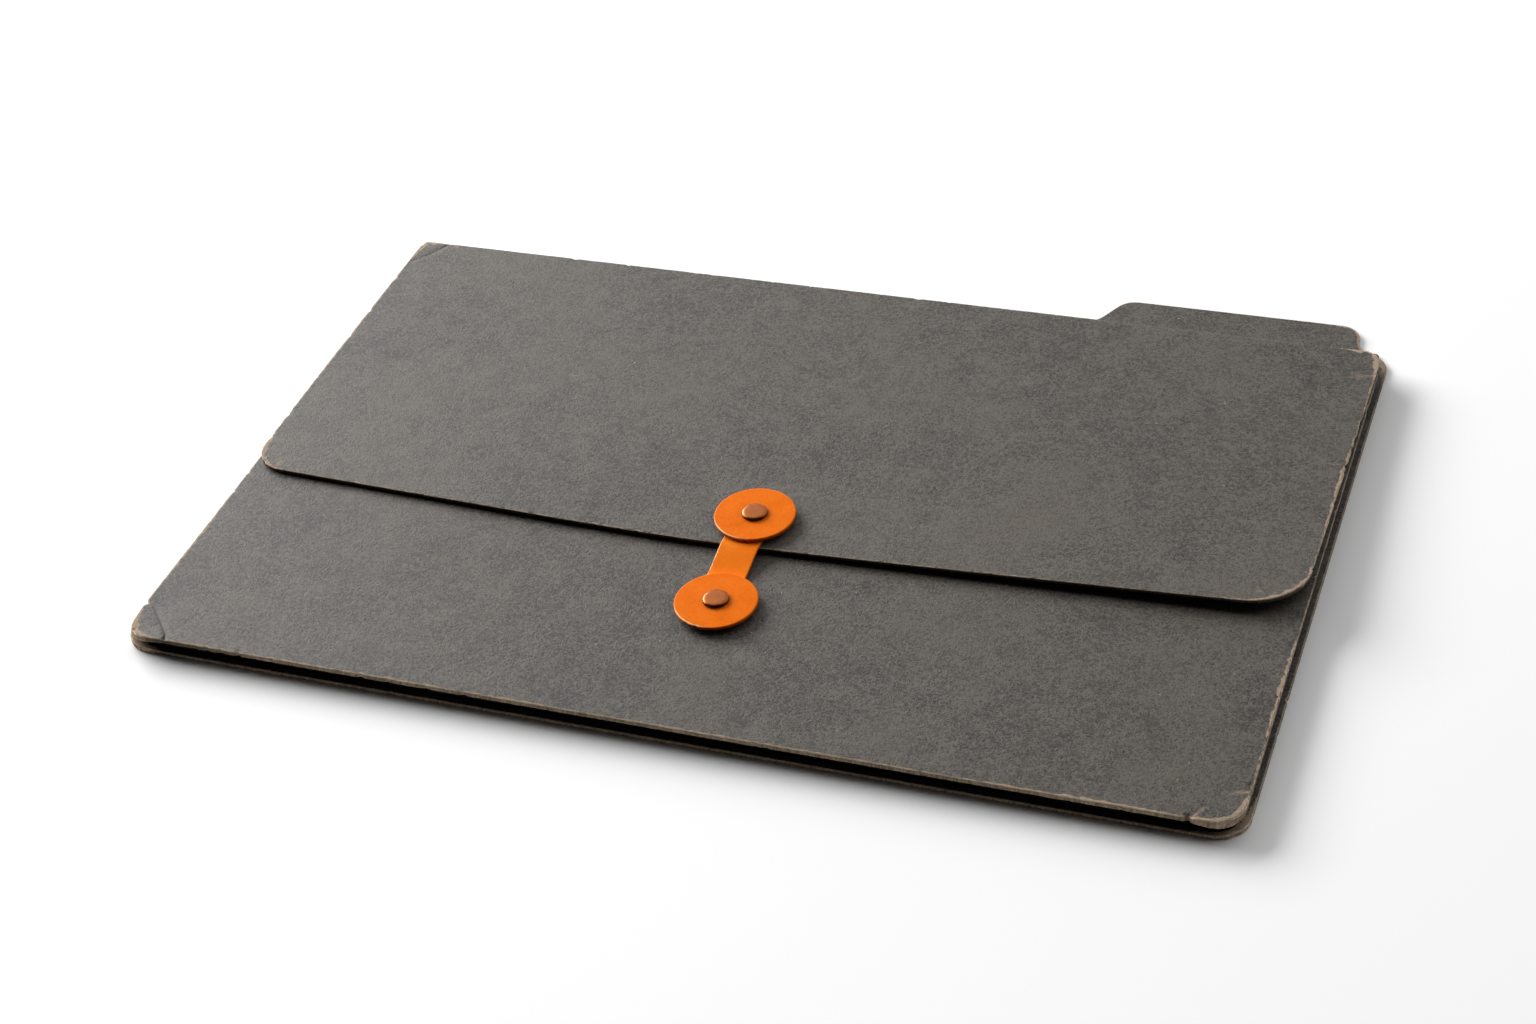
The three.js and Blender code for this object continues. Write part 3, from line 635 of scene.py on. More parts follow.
def back_torn(points):
    """The front wall, and less of it at the left."""
    along = np.maximum(ramp(points[:, 0], *BACK_TORN_LEFT), BACK_TORN_LEAST)
    return ramp(points[:, 1], *FRONT_WALL) * along


stamped(
    "back_board_with_tab", die_cut(back_face), back_face, back_top, back_bottom, BOARD_ARRIS,
    used_edge(back_face, BACK_SEED, fray=BACK_FRAY, count=BACK_NICKS), back_wear, "back_panel",
    "back_board", pressboard, marks=[BACK_SHADE_AND_DARK_CORNER], soft=BACK_ROUNDED, torn=back_torn,
)

# Spine strip, the same pressboard, which stands upright between two scored folds at the rear. Its right end
# is worn off.
SPINE_ROWS = ((0.35, 1), (0.9, 2))
SPINE_GRID = 1.6
FOLD_CORNER = 0.3
SPINE_WORN_OFF = 5
SPINE_NICKS, SPINE_SEED = 20, 31
SPINE_WAVE = -0.05, 0.05, 25, 31
SPINE_EDGE_WEAR, SPINE_ENDS, SPINE_END_WEAR = (-0.45, 0.25, 12, 5), (178, 184), 2.6
spine_low, spine_high = box_mm("spine_strip")
# It is drawn from behind, so its right end comes first
worn_end = spine_low.x + SPINE_WORN_OFF
spine_face = rounded([
    (worn_end, spine_low.z, FOLD_CORNER), (spine_high.x, spine_low.z, FOLD_CORNER),
    (spine_high.x, spine_high.z, FOLD_CORNER), (worn_end, spine_high.z, FOLD_CORNER),
])
spine_face = spine_face + inward_of(spine_face) * BOARD_ARRIS
# Turns the strip about its length, so that its height goes up and its outer face looks to the rear
UPRIGHT = Matrix(((-1, 0, 0, 0), (0, 0, 1, 0), (0, 1, 0, 0), (0, 0, 0, 1)))


def spine_outer(points):
    return spine_high.y + drifting(points, *SPINE_WAVE)


def spine_inner(points):
    return np.full(len(points), spine_low.y)


def spine_wear(points):
    """Below 0 along its folds, which keep their coat, so that only its ends are bare."""
    ends = ramp(np.abs(points[:, 0]), *SPINE_ENDS)
    return drifting(points, *SPINE_EDGE_WEAR) + SPINE_END_WEAR * ends


spine_cut = die_cut(spine_face, rows=SPINE_ROWS, grid=SPINE_GRID)
stamped(
    "spine_strip_scored", spine_cut, spine_face, spine_outer, spine_inner, BOARD_ARRIS,
    used_edge(spine_face, SPINE_SEED, count=SPINE_NICKS), spine_wear, "spine",
    "spine_strip", pressboard, place=UPRIGHT,
)

# Hinge cloth, a strip of black bookcloth glued inside the rear fold, half of it on the back board and half
# on the spine. Bookcloth is a plain cotton weave filled with starch, so it is matt and hardly frays.
CLOTH_STATION = 4.0
HINGE_CLOTH_MM = 0.25
HINGE_LIFT_MM = 0.05
FOLD_ROUND = 0.5
LEAF_STEPS, FOLD_STEPS, RISE_STEPS = 8, 7, 6
CLOTH_WELD_MM, CLOTH_SLIVER_MM = 0.02, 0.01
# Real threads lie about 0.4 mm apart, and these a little farther, so that they show
THREAD_MM, THREAD_RELIEF_MM, DUST_MM = 0.5, 0.08, 14
# The bands of a wave texture at scale 1 lie this far apart
WAVE_BANDS = math.pi / 10


def starched_bookcloth():
    """Black cotton filled with starch: a matt, even weave with a little dust on it."""
    finish, tree = new_finish("starched_bookcloth")
    place = add(tree, "TexCoord").outputs["Object"]
    threads = [
        add(tree, "TexWave", {
            "Vector": place, "Scale": WAVE_BANDS * scale_of(THREAD_MM), "Distortion": 0.6, "Detail": 1.0,
        }, bands_direction=direction)
        for direction in ("X", "Y")
    ]
    weave = add(tree, "Math", {0: threads[0], 1: threads[1]}, operation="MAXIMUM")
    dust = add(tree, "TexNoise", {"Vector": place, "Scale": scale_of(DUST_MM), "Detail": 5.0})
    tone = add(tree, "Math", {0: weave, 1: 0.35, 2: dust}, operation="MULTIPLY_ADD")
    colour = add(tree, "Mix", {0: tone, 6: linear("060606"), 7: linear("171615")}, data_type="RGBA")
    relief = add(tree, "Bump", {"Height": weave, "Strength": 0.4, "Distance": THREAD_RELIEF_MM * MM})
    surface = add(tree, "BsdfPrincipled", {
        "Base Color": colour, "Roughness": 0.85, "IOR": 1.5, "Specular IOR Level": 0.02, "Normal": relief,
    })
    add(tree, "OutputMaterial", {"Surface": surface})
    return finish


def folded_strip(profile, thickness):
    """A closed section round a folded line of [across, height] points, with the cloth's thickness."""
    along = np.gradient(profile, axis=0)
    normal = np.stack([-along[:, 1], along[:, 0]], 1)
    normal = normal / np.linalg.norm(normal, axis=1)[:, None] * thickness / 2
    return np.vstack([profile + normal, (profile - normal)[::-1]])


def ring_quads(rings, size):
    """The faces between closed rings of points that are numbered ring after ring."""
    return [(low + i, low + (i + 1) % size, low + size + (i + 1) % size, low + size + i)
            for low in range(0, (rings - 1) * size, size) for i in range(size)]


def swept_cloth(name, sections, nodes):
    """A closed mesh through like sections of points in mm, put in place of the CAD nodes it is given."""
    count = len(sections[0])
    faces = ring_quads(len(sections), count)
    half = count // 2
    for k, flip in ((0, False), (len(sections) - 1, True)):
        for i in range(half - 1):
            quad = [k * count + n for n in (i, count - 1 - i, count - 2 - i, i + 1)]
            faces.append(tuple(quad if flip else quad[::-1]))
    mesh = bpy.data.meshes.new(name)
    mesh.from_pydata(np.vstack(sections) * MM, [], faces)
    # Where the sections of a mitre meet, their points are welded into one
    build = bmesh.new()
    build.from_mesh(mesh)
    bmesh.ops.remove_doubles(build, verts=build.verts, dist=CLOTH_WELD_MM * MM)
    bmesh.ops.dissolve_degenerate(build, edges=build.edges, dist=CLOTH_SLIVER_MM * MM)
    bmesh.ops.recalc_face_normals(build, faces=build.faces)
    build.to_mesh(mesh)
    build.free()
    mesh.shade_smooth()
    mesh.materials.append(bookcloth)
    piece = placed(mesh)
    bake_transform(piece)
    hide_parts(*nodes)
    return piece


bookcloth = starched_bookcloth()
leaf_low, leaf_high = box_mm("back_hinge_cloth")
rise_high = box_mm("spine_hinge_cloth")[1]
leaf_z = back_high.z + HINGE_LIFT_MM + HINGE_CLOTH_MM / 2
rise_y = spine_low.y - HINGE_LIFT_MM - HINGE_CLOTH_MM / 2
turns = np.linspace(0, math.pi / 2, FOLD_STEPS)
fold_line = np.vstack([
    [(y, leaf_z) for y in np.linspace(leaf_low.y, rise_y - FOLD_ROUND, LEAF_STEPS, endpoint=False)],
    np.stack([rise_y - FOLD_ROUND * (1 - np.sin(turns)), leaf_z + FOLD_ROUND * (1 - np.cos(turns))], 1),
    [(rise_y, z) for z in np.linspace(leaf_z + FOLD_ROUND, rise_high.z, RISE_STEPS)[1:]],
])
fold_section = folded_strip(fold_line, HINGE_CLOTH_MM)
stations = np.linspace(leaf_low.x, leaf_high.x, round((leaf_high.x - leaf_low.x) / CLOTH_STATION))
swept_cloth(
    "hinge_cloth", [np.column_stack([np.full(len(fold_section), x), fold_section]) for x in stations],
    ["back_hinge_cloth", "spine_hinge_cloth"],
)

# Gussets, three strips of the same bookcloth, pleated twice so that the wallet can swell. Their outer leaves
# are glued to the boards, the front one turns both corners, and age has let the folds go wavy.
PLEAT_DEPTH = 16
GUSSET_INSET = 1.2
GUSSET_MM = 0.36
GLUE_MM = 0.02
PLEAT_ROUND, PLEAT_STEPS = 0.2, 5
# The heights of its folds, as shares of the gap between the boards
PLEAT_OUTER = (0.07, 0.5, 0.93)
PLEAT_INNER = (0.3, 0.7)
PLEAT_STATION = 2.5
PLEAT_FIRM_MM = 2
CORNER_STATIONS = 7
GUSSET_SLACK, GUSSET_WAVE, GUSSET_WAVE_SPAN = 0.35, 0.3, 14
GUSSET_SAG, GUSSET_SAG_SPAN = 0.12, 20
left_low, left_high = box_mm("gusset_left")
right_high = box_mm("gusset_right")[1]
front_low, front_high = box_mm("front_board")
gusset_low = back_high.z + GLUE_MM + GUSSET_MM / 2
gusset_high = front_low.z - GLUE_MM - GUSSET_MM / 2
gusset_rise = gusset_high - gusset_low
front_edge_y = back_low.y + GUSSET_INSET


def pleats():
    """The folded line of a gusset as [inward, height], from the leaf on the back board up."""
    folds = [(share, 0, 1) for share in PLEAT_OUTER] + [(share, PLEAT_DEPTH, -1) for share in PLEAT_INNER]
    line = [(PLEAT_DEPTH, gusset_low)]
    for share, inward, side in sorted(folds):
        for turn in np.linspace(-math.pi / 2, math.pi / 2, PLEAT_STEPS):
            height = gusset_low + gusset_rise * share + PLEAT_ROUND * math.sin(turn)
            line.append((inward + side * PLEAT_ROUND * (1 - math.cos(turn)), height))
    line.append((PLEAT_DEPTH, gusset_high))
    dense = []
    for (q0, z0), (q1, z1) in zip(line, line[1:]):
        pieces = 4 if abs(q1 - q0) > PLEAT_FIRM_MM else 1
        dense += [(q0 + (q1 - q0) * i / pieces, z0 + (z1 - z0) * i / pieces) for i in range(pieces)]
    return np.array([*dense, line[-1]])


pleat_line = pleats()
pleat_section = folded_strip(pleat_line, GUSSET_MM)


def x_edge(side):
    return right_high.x if side > 0 else left_low.x


def corner_stations(side, radius, first, last):
    """Stations round a front corner, from share first to last of its quarter turn.

    A station is (x, y, its unit inward as x and y, the corner's radius or 0, which side)."""
    x, y = x_edge(side) - side * radius, front_edge_y + radius
    found = []
    for share in np.linspace(first, last, CORNER_STATIONS):
        turn = share * math.pi / 2
        out_x, out_y = side * math.sin(turn), -math.cos(turn)
        found.append((x + radius * out_x, y + radius * out_y, -out_x, -out_y, radius, side))
    return found


def gusset_section(station, seed):
    """The pleated section at a station, mitred where the front and the side pleats meet."""
    x, y, inward_x, inward_y, radius, side = station
    points = []
    for inward, height in pleat_section:
        slack = 1 - inward / PLEAT_DEPTH
        wave = GUSSET_WAVE * noise.noise(Vector((x / GUSSET_WAVE_SPAN, y / GUSSET_WAVE_SPAN, seed + height)))
        q = max(0.0, inward + slack * (GUSSET_SLACK + wave))
        px, py = x + inward_x * q, y + inward_y * q
        if radius and q > radius:
            px, py = x_edge(side) - side * q, front_edge_y + q
        elif not radius and abs(inward_y) > 0.5:
            px = max(left_low.x + q, min(right_high.x - q, px))
        elif not radius:
            py = max(front_edge_y + q, py)
        sag = GUSSET_SAG * noise.noise(Vector((x / GUSSET_SAG_SPAN, y / GUSSET_SAG_SPAN, seed + 9)))
        middling = 4 * (height - gusset_low) * (gusset_high - height) / gusset_rise ** 2
        points.append((px, py, height + sag * slack * middling))
    return np.array(points)


radius_left = CORNER_FRONT_LEFT - GUSSET_INSET
radius_right = CORNER_FRONT_RIGHT - GUSSET_INSET
front_run = np.arange(left_low.x + radius_left, right_high.x - radius_right, PLEAT_STATION)[1:]
side_run = {
    -1: np.arange(left_high.y, front_edge_y + radius_left, -PLEAT_STATION),
    1: np.arange(front_edge_y + radius_right, right_high.y, PLEAT_STATION)[1:],
}
gusset_stations = {
    "gusset_left": [(left_low.x, y, 1, 0, 0, -1) for y in side_run[-1]]
    + corner_stations(-1, radius_left, 1.0, 0.5),
    "gusset_front": corner_stations(-1, radius_left, 0.5, 0.0)
    + [(x, front_edge_y, 0, 1, 0, 0) for x in front_run] + corner_stations(1, radius_right, 0.0, 0.5),
    "gusset_right": corner_stations(1, radius_right, 0.5, 1.0)
    + [(right_high.x, y, -1, 0, 0, 1) for y in side_run[1]] + [(right_high.x, right_high.y, -1, 0, 0, 1)],
}
for seed, (node, places) in enumerate(gusset_stations.items()):
    swept_cloth(
        f"{node}_pleated", [gusset_section(place, 20 * seed) for place in places],
        [node],
    )

# Front board, the same pressboard, which ends short of the crease so that papers can be reached. Its front
# left corner is creased and crushed down on the back board's, and its right one has split into its layers.
MOUTH_CORNER = 3
FRONT_RIM, FRONT_RIM_SWELL = 1.0, 0.35
FRONT_SEED = 8
FRONT_WAVE = -0.08, 0.08, 70, 21
FRONT_EDGE_WEAR = 0.4, 0.3, 25, 8
FLAP_COVER, COVER_SHARE = (-32, -22), 0.9
FRONT_TORN, FRONT_TORN_LEFT, FRONT_TORN_LEAST = 0.7, (-165, -135), 0.1
RIVET_HOLE = 2.15
lower_rivet_low, lower_rivet_high = box_mm("lower_rivet")
lower_centre = (lower_rivet_low + lower_rivet_high) / 2
front_face = rounded([
    (front_low.x, front_low.y, CORNER_FRONT_LEFT), (front_high.x, front_low.y, CORNER_FRONT_RIGHT),
    (front_high.x, front_high.y, MOUTH_CORNER), (front_low.x, front_high.y, MOUTH_CORNER),
])
front_face = front_face + inward_of(front_face) * BOARD_ARRIS
# Its damage as places (x, y, reach, amount), then its creases and rubs, then its nicks (x, y, width, depth)
FRONT_CRUSHED = ((-188, -127, 14, 0.4),)
FRONT_SWOLLEN = ((-188, -124, 16, 2.2), (-180, -131, 9, 0.4), (185, -131, 18, 1.6))
FRONT_RUBBED = (
    (-187, -130, 14, 2.2), (186, -131, 18, 1.5), (-187, -80, 30, 0.8), (187, -70, 40, 0.7),
    (140, -132, 30, 0.5),
)
FRONT_ROUNDED = ((-188, -130, 12, 0.5), (187, -131, 14, 0.3))
# Its dark marks are painted shade in the creases and splits
front_marks = [
    scar([(-171.6, -131.9), (-172.4, -129.5), (-182.3, -118.7), (-184.5, -117.2)], 0.55, depth=0.3, dark=1.6),
    scar([(-171.6, -132.0), (-171.9, -129.8)], 0.9, depth=0.5, dark=1.0),
    scar([(-187.0, -130.3), (-184.3, -129.0)], 0.8, depth=0.5, dark=1.0),
    scar([(187.2, -117.2), (182.0, -118.5)], 0.9, depth=0.2, pale=1.0),
    scar([(187.3, -113.5), (185.9, -116.2)], 0.8, depth=0.3, dark=0.8),
    scar([(172.6, -132.0), (175.6, -126.2)], 0.9, depth=0.25, pale=0.9),
    scar([(171.4, -132.1), (172.0, -130.4)], 1.1, depth=0.5, dark=1.0),
    scar([(-111.4, -132.3), (-111.2, -129.9)], 0.5, pale=0.8),
    scar([(-84.5, -132.0), (-84.0, -129.5)], 0.7, pale=0.5),
]
front_nicks = [
    (-143.6, -132.2, 1.3, 0.8), (-150.0, -132.2, 1.5, 0.6), (-98.7, -132.2, 1.6, 0.6),
    (171.8, -132.2, 1.6, 1.0), (187.2, -113.9, 1.6, 0.8), (-187.2, -116.2, 1.6, 0.9),
]


def front_top(points):
    return front_high.z - spots(points, FRONT_CRUSHED) + drifting(points, *FRONT_WAVE)


def front_bottom(points):
    """Damp and handling have swollen the very rim a little, clear of the gusset behind it."""
    rim = ramp(nearest(points, front_face)[0], FRONT_RIM, 0)
    return front_low.z - spots(points, FRONT_SWOLLEN) - FRONT_RIM_SWELL * rim


def front_wear(points):
    """Least at the rear of both sides, where the flap covers them."""
    open_share = 1 - COVER_SHARE * ramp(points[:, 1], *FLAP_COVER)
    return drifting(points, *FRONT_EDGE_WEAR) * open_share + spots(points, FRONT_RUBBED)


def front_torn(points):
    """The front wall, and hardly at all at the far left."""
    along = np.maximum(ramp(points[:, 0], *FRONT_TORN_LEFT), FRONT_TORN_LEAST)
    return FRONT_TORN * ramp(points[:, 1], *FRONT_WALL) * along


stamped(
    "front_board_worn", die_cut(front_face, [(lower_centre.x, lower_centre.y, RIVET_HOLE)], front_marks),
    front_face, front_top, front_bottom, BOARD_ARRIS, used_edge(front_face, FRONT_SEED, front_nicks),
    front_wear, "front_panel", "front_board", pressboard, marks=front_marks,
    soft=FRONT_ROUNDED, torn=front_torn,
)

# Flap, the same pressboard, a little thinner. It rises from the crease to the buttons, its right front
# corner curls up and its left one settles, and its free edge runs back to both sides from left of the strap.
FLAP_MM = 1.1
FLAP_CROWN, FLAP_CURL, FLAP_DROOP, CURL_POWER = 1.0, 2.9, 0.6, 1.5
FLAP_TIP_X, FLAP_TIP_BEND = -25, 30
FLAP_TAPER_LEFT, FLAP_TAPER_RIGHT = 0.04, 0.047
FLAP_SIDE_TAPER = 0.9
FLAP_REAR_LEFT, FLAP_REAR_RIGHT, FLAP_FRONT_LEFT, FLAP_FRONT_RIGHT = 4, 8, 13, 20
FLAP_EDGE_POINTS = 18
CREASE_ROUND, CREASE_SLUMP = 1.0, 0.6
FLAP_SEED = 44
FLAP_WAVE = 0, 0.07, 60, 42
FLAP_LIFT = 0.02
FLAP_EDGE_WEAR = 0.2, 0.18, 22, 44
CREASE_COAT, CREASE_DEPTH, CREASE_ENDS = 0.75, (3, 1), (172, 160)
FLAP_WALL_COAT, CREASE_WALL_COAT, COATED_RIGHT, COATED_REAR = -0.2, -1.0, 150, 4
flap_low, flap_high = box_mm("flap_board")
upper_rivet_low, upper_rivet_high = box_mm("upper_rivet")
upper_centre = (upper_rivet_low + upper_rivet_high) / 2
crease_y = flap_high.y
flap_reach = flap_high.y - flap_low.y
flap_left, flap_right = flap_low.x + FLAP_SIDE_TAPER, flap_high.x - FLAP_SIDE_TAPER


def flap_edge(x):
    """How far forward the flap's free edge reaches at a place across."""
    taper = FLAP_TAPER_RIGHT if x > FLAP_TIP_X else FLAP_TAPER_LEFT
    return flap_low.y + taper * (math.hypot(x - FLAP_TIP_X, FLAP_TIP_BEND) - FLAP_TIP_BEND)


def flap_underside(points):
    x, y = points[:, 0], points[:, 1]
    share = (crease_y - y) / flap_reach
    side = (np.abs(x) / ((flap_high.x - flap_low.x) / 2)) ** CURL_POWER
    corner = np.where(x > 0, FLAP_CURL * side, -FLAP_DROOP * side)
    return flap_low.z + FLAP_CROWN * (2 * share - share ** 2) + corner * share ** 2


def flap_top(points):
    behind = np.clip(points[:, 1] - (crease_y - BOARD_ARRIS - CREASE_ROUND), 0, CREASE_ROUND)
    rounding = CREASE_ROUND - np.sqrt(CREASE_ROUND ** 2 - behind ** 2)
    return flap_underside(points) + FLAP_MM - CREASE_SLUMP * rounding + drifting(points, *FLAP_WAVE)


def flap_bottom(points):
    return flap_underside(points) - spots(points, FLAP_SWOLLEN) + FLAP_LIFT


edge_left = flap_left + 2 * FLAP_FRONT_LEFT
edge_right = flap_right - 2 * FLAP_FRONT_RIGHT
flap_face = rounded([
    (flap_high.x, crease_y, FLAP_REAR_RIGHT), (flap_low.x, crease_y, FLAP_REAR_LEFT),
    (flap_left, flap_edge(flap_left), FLAP_FRONT_LEFT),
    *[(x, flap_edge(x), 0) for x in np.linspace(edge_left, edge_right, FLAP_EDGE_POINTS)],
    (flap_right, flap_edge(flap_right), FLAP_FRONT_RIGHT),
])
flap_face = flap_face + inward_of(flap_face) * BOARD_ARRIS
# Its damage, set out as the front board's
FLAP_SWOLLEN = ((182, -32, 16, 0.5),)
FLAP_RUBBED = (
    (-184, -30, 18, 1.1), (182, -34, 24, 1.3), (184, 106, 16, 2.0), (-186, 106, 16, 1.6), (187, 30, 40, 0.8),
    (-188, 40, 60, 0.5), (130, 109, 60, 0.25),
)
# Its dark marks are painted shade in its creases
flap_marks = [
    scar([(-177.0, 109.0), (-181.5, 100.5), (-187.8, 93.0)], 0.9, depth=0.25, dark=0.8),
    scar([(-174.6, 107.6), (-172.2, 106.2)], 1.3, pale=0.8),
    scar([(187.0, -22.0), (185.6, -25.2), (182.0, -27.5)], 0.8, depth=0.15, pale=1.0),
    scar([(169.6, -41.5), (170.0, -38.6)], 0.7, pale=0.9),
    scar([(177.2, -32.2), (178.4, -32.9)], 0.5, pale=0.7),
    scar([(172.8, -32.5), (173.8, -32.9)], 0.5, pale=0.6),
    scar([(-177.3, -38.6), (-177.0, -35.0)], 1.4, pale=0.9),
    scar([(173.6, 108.9), (173.9, 105.9)], 1.0, depth=0.3, pale=0.3, dark=0.8),
    scar([(186.9, 94.2), (182.2, 93.2)], 0.9, depth=0.2, pale=0.8),
    scar([(186.9, 40.2), (180.5, 40.0)], 0.9, depth=0.1, pale=0.5),
    scar([(139.9, 66.9), (140.4, 65.2)], 0.6, pale=0.7),
    scar([(-92.6, 34.3), (-91.2, 34.8)], 0.9, pale=0.4),
]
flap_nicks = [
    (187.0, 63.4, 1.6, 0.5), (187.0, 55.9, 1.4, 0.6), (187.0, 49.6, 1.4, 0.6), (187.0, 39.9, 2.2, 0.9),
    (-187.8, -23.7, 1.8, 0.5), (-188.0, -10.0, 2.0, 0.5), (-184.5, -34.0, 1.5, 0.3),
]


def flap_wear(points):
    """Below 0 along the crease, which is folded and keeps its coat all but at its ends."""
    creased = ramp(crease_y - points[:, 1], *CREASE_DEPTH) * ramp(np.abs(points[:, 0]), *CREASE_ENDS)
    return drifting(points, *FLAP_EDGE_WEAR) - CREASE_COAT * creased + spots(points, FLAP_RUBBED)


def flap_torn(points):
    """Below 0: its wall keeps its coat, most of all along the crease and the right side."""
    coated = (points[:, 0] > COATED_RIGHT) | (points[:, 1] > crease_y - COATED_REAR)
    return np.where(coated, CREASE_WALL_COAT, FLAP_WALL_COAT)


stamped(
    "flap_board_curled", die_cut(flap_face, [(upper_centre.x, upper_centre.y, RIVET_HOLE)], flap_marks),
    flap_face, flap_top, flap_bottom, BOARD_ARRIS, used_edge(flap_face, FLAP_SEED, flap_nicks), flap_wear,
    "flap", "flap_board", pressboard, marks=flap_marks, torn=flap_torn,
)

# Tie strap, stamped from orange vulcanised fibre: paper gelled with zinc chloride and pressed, hard and
# smooth like horn. It is riveted under the lower button and hooks round the upper rivet.
FIBRE_ROWS = ((0.25, 1), (0.6, 1), (1.2, 2))
FIBRE_GRID = 1.6
FIBRE_STEP = 0.5
FIBRE_FRAY = 0.02
FIBRE_ARRIS, STRAP_ARRIS = 0.3, 0.2
BUTTON_BORE = 2.35
STRAP_WIDTH, STRAP_MM, STRAP_LEAN = 13.1, 1.0, 0.04
STRAP_TONGUE, STRAP_TONGUE_CORNER, STRAP_EYE_CORNER = 7, 4, 6
STRAP_STEP_GAP = 1.0
STRAP_SEED = 61
STRAP_WAVE = -0.02, 0.02, 9, 61
# The painted highlight along its left side, as base, drift, span and seed, then how close to that side it
# lies in mm
STRAP_HIGHLIGHT, STRAP_HIGHLIGHT_MM = (0.4, 0.2, 3, 62), 0.5
HOOK_STEPS, SLOT_STEPS = 12, 8
# Sizes in the fibre's look, in mm
CLOUDY_MM, PULP_MM, SPECK_MM, SPECK_PATCH_MM = 7, 0.9, 2.6, 6
SCUFF_MM, SCUFF_RELIEF_MM, RIM_HIGHLIGHT_MM = 1.3, 0.04, 1.8


def vulcanised_fibre(name, deep, light):
    """Vulcanised fibre dyed orange through: satin, a little cloudy, with a painted highlight on its rim where
    one is set, painted shade on its wall and round a rivet's head, dark specks of grit pressed in and fine
    pale scuffs."""
    finish, tree = new_finish(name)
    place = add(tree, "TexCoord").outputs["Object"]
    read = {key: add(tree, "Attribute", attribute_name=key).outputs["Fac"]
            for key in ("edge_mm", "wear_and_highlight_mm", "wall", "dark")}
    clouds = add(tree, "TexNoise", {"Vector": place, "Scale": scale_of(CLOUDY_MM), "Detail": 4.0})
    pulp = add(tree, "TexNoise", {"Vector": place, "Scale": scale_of(PULP_MM), "Detail": 3.0})
    cloudy = add(tree, "Math", {0: clouds, 1: pulp}, operation="ADD")
    cloudy = add(tree, "MapRange", {"Value": cloudy, "From Min": 0.5, "From Max": 1.5})
    colour = add(tree, "Mix", {0: cloudy, 6: linear(deep), 7: linear(light)}, data_type="RGBA")
    # Grit, in some patches only
    specks = add(tree, "TexVoronoi", {"Vector": place, "Scale": scale_of(SPECK_MM)}, feature="F1")
    speck = add(tree, "MapRange", {
        "Value": specks.outputs["Distance"], "From Min": 0.05, "From Max": 0.09, "To Min": 0.7, "To Max": 0.0,
    })
    patches = add(tree, "TexNoise", {"Vector": place, "Scale": scale_of(SPECK_PATCH_MM), "Detail": 0.0})
    patches = add(tree, "MapRange", {"Value": patches, "From Min": 0.42, "From Max": 0.52})
    speck = add(tree, "Math", {0: speck, 1: patches}, operation="MULTIPLY")
    colour = add(tree, "Mix", {0: speck, 6: colour, 7: linear("8a3c0c")}, data_type="RGBA")
    scuffs = add(tree, "TexNoise", {
        "Vector": place, "Scale": scale_of(SCUFF_MM), "Detail": 6.0, "Roughness": 0.7,
    })
    scuff = add(tree, "MapRange", {"Value": scuffs, "From Min": 0.64, "From Max": 0.76, "To Max": 0.4})
    colour = add(tree, "Mix", {0: scuff, 6: colour, 7: linear("f2a868")}, data_type="RGBA")
    # A painted highlight: the rim is pale on top where it is set, at the front left of each button and along
    # the strap's left side
    ragged = add(tree, "TexNoise", {"Vector": place, "Scale": scale_of(RIM_HIGHLIGHT_MM), "Detail": 3.0})
    width = add(tree, "Math", {0: read["wear_and_highlight_mm"], 1: ragged}, operation="MULTIPLY")
    left = add(tree, "Math", {0: width, 1: read["edge_mm"]}, operation="SUBTRACT")
    highlit_rim = add(tree, "MapRange", {"Value": left, "From Min": 0.0, "From Max": 0.12, "To Max": 0.85})
    on_top = add(tree, "Math", {0: 1.0, 1: read["wall"]}, operation="SUBTRACT")
    highlit_rim = add(tree, "Math", {0: highlit_rim, 1: on_top}, operation="MULTIPLY")
    lit_side = add(tree, "MapRange", {"Value": read["wear_and_highlight_mm"], "From Min": 0.12, "From Max": 0.4})
    highlit_rim = add(tree, "Math", {0: highlit_rim, 1: lit_side}, operation="MULTIPLY")
    colour = add(tree, "Mix", {0: highlit_rim, 6: colour, 7: linear("fad29c")}, data_type="RGBA")
    # The stamped wall is darkened as painted shade, and painted shade is laid round the rivet's head
    side = add(tree, "MapRange", {"Value": read["wall"], "From Min": 0.4, "From Max": 1.0, "To Max": 0.6})
    colour = add(tree, "Mix", {0: side, 6: colour, 7: linear("863806")}, data_type="RGBA")
    shade_and_dark_marks = add(tree, "Math", {0: read["dark"], 1: 0.8}, operation="MULTIPLY")
    colour = add(tree, "Mix", {0: shade_and_dark_marks, 6: colour, 7: linear("4a2208")}, data_type="RGBA")
    gloss = add(tree, "MapRange", {
        "Value": clouds, "From Min": 0.3, "From Max": 0.7, "To Min": 0.3, "To Max": 0.4,
    })
    relief = add(tree, "Bump", {"Height": scuffs, "Strength": 0.25, "Distance": SCUFF_RELIEF_MM * MM})
    surface = add(tree, "BsdfPrincipled", {
        "Base Color": colour, "Roughness": gloss, "IOR": 1.54, "Specular IOR Level": 0.03, "Normal": relief,
    })
    add(tree, "OutputMaterial", {"Surface": surface})
    return finish


fibre = vulcanised_fibre("vulcanised_fibre", "da6202", "f67a0c")
# The strap takes a lighter copy of the same fibre: painted light, making up for its slope away from the soft
# box
strap_fibre_lit_copy = vulcanised_fibre("vulcanised_fibre_strip", "fc7208", "ff8e20")
strap_low, strap_high = box_mm("tie_strap")
strap_upper_z = strap_high.z - STRAP_MM
button_low, button_high = box_mm("lower_button")
button_radius = (button_high.x - button_low.x) / 2
face_radius = button_radius - FIBRE_ARRIS
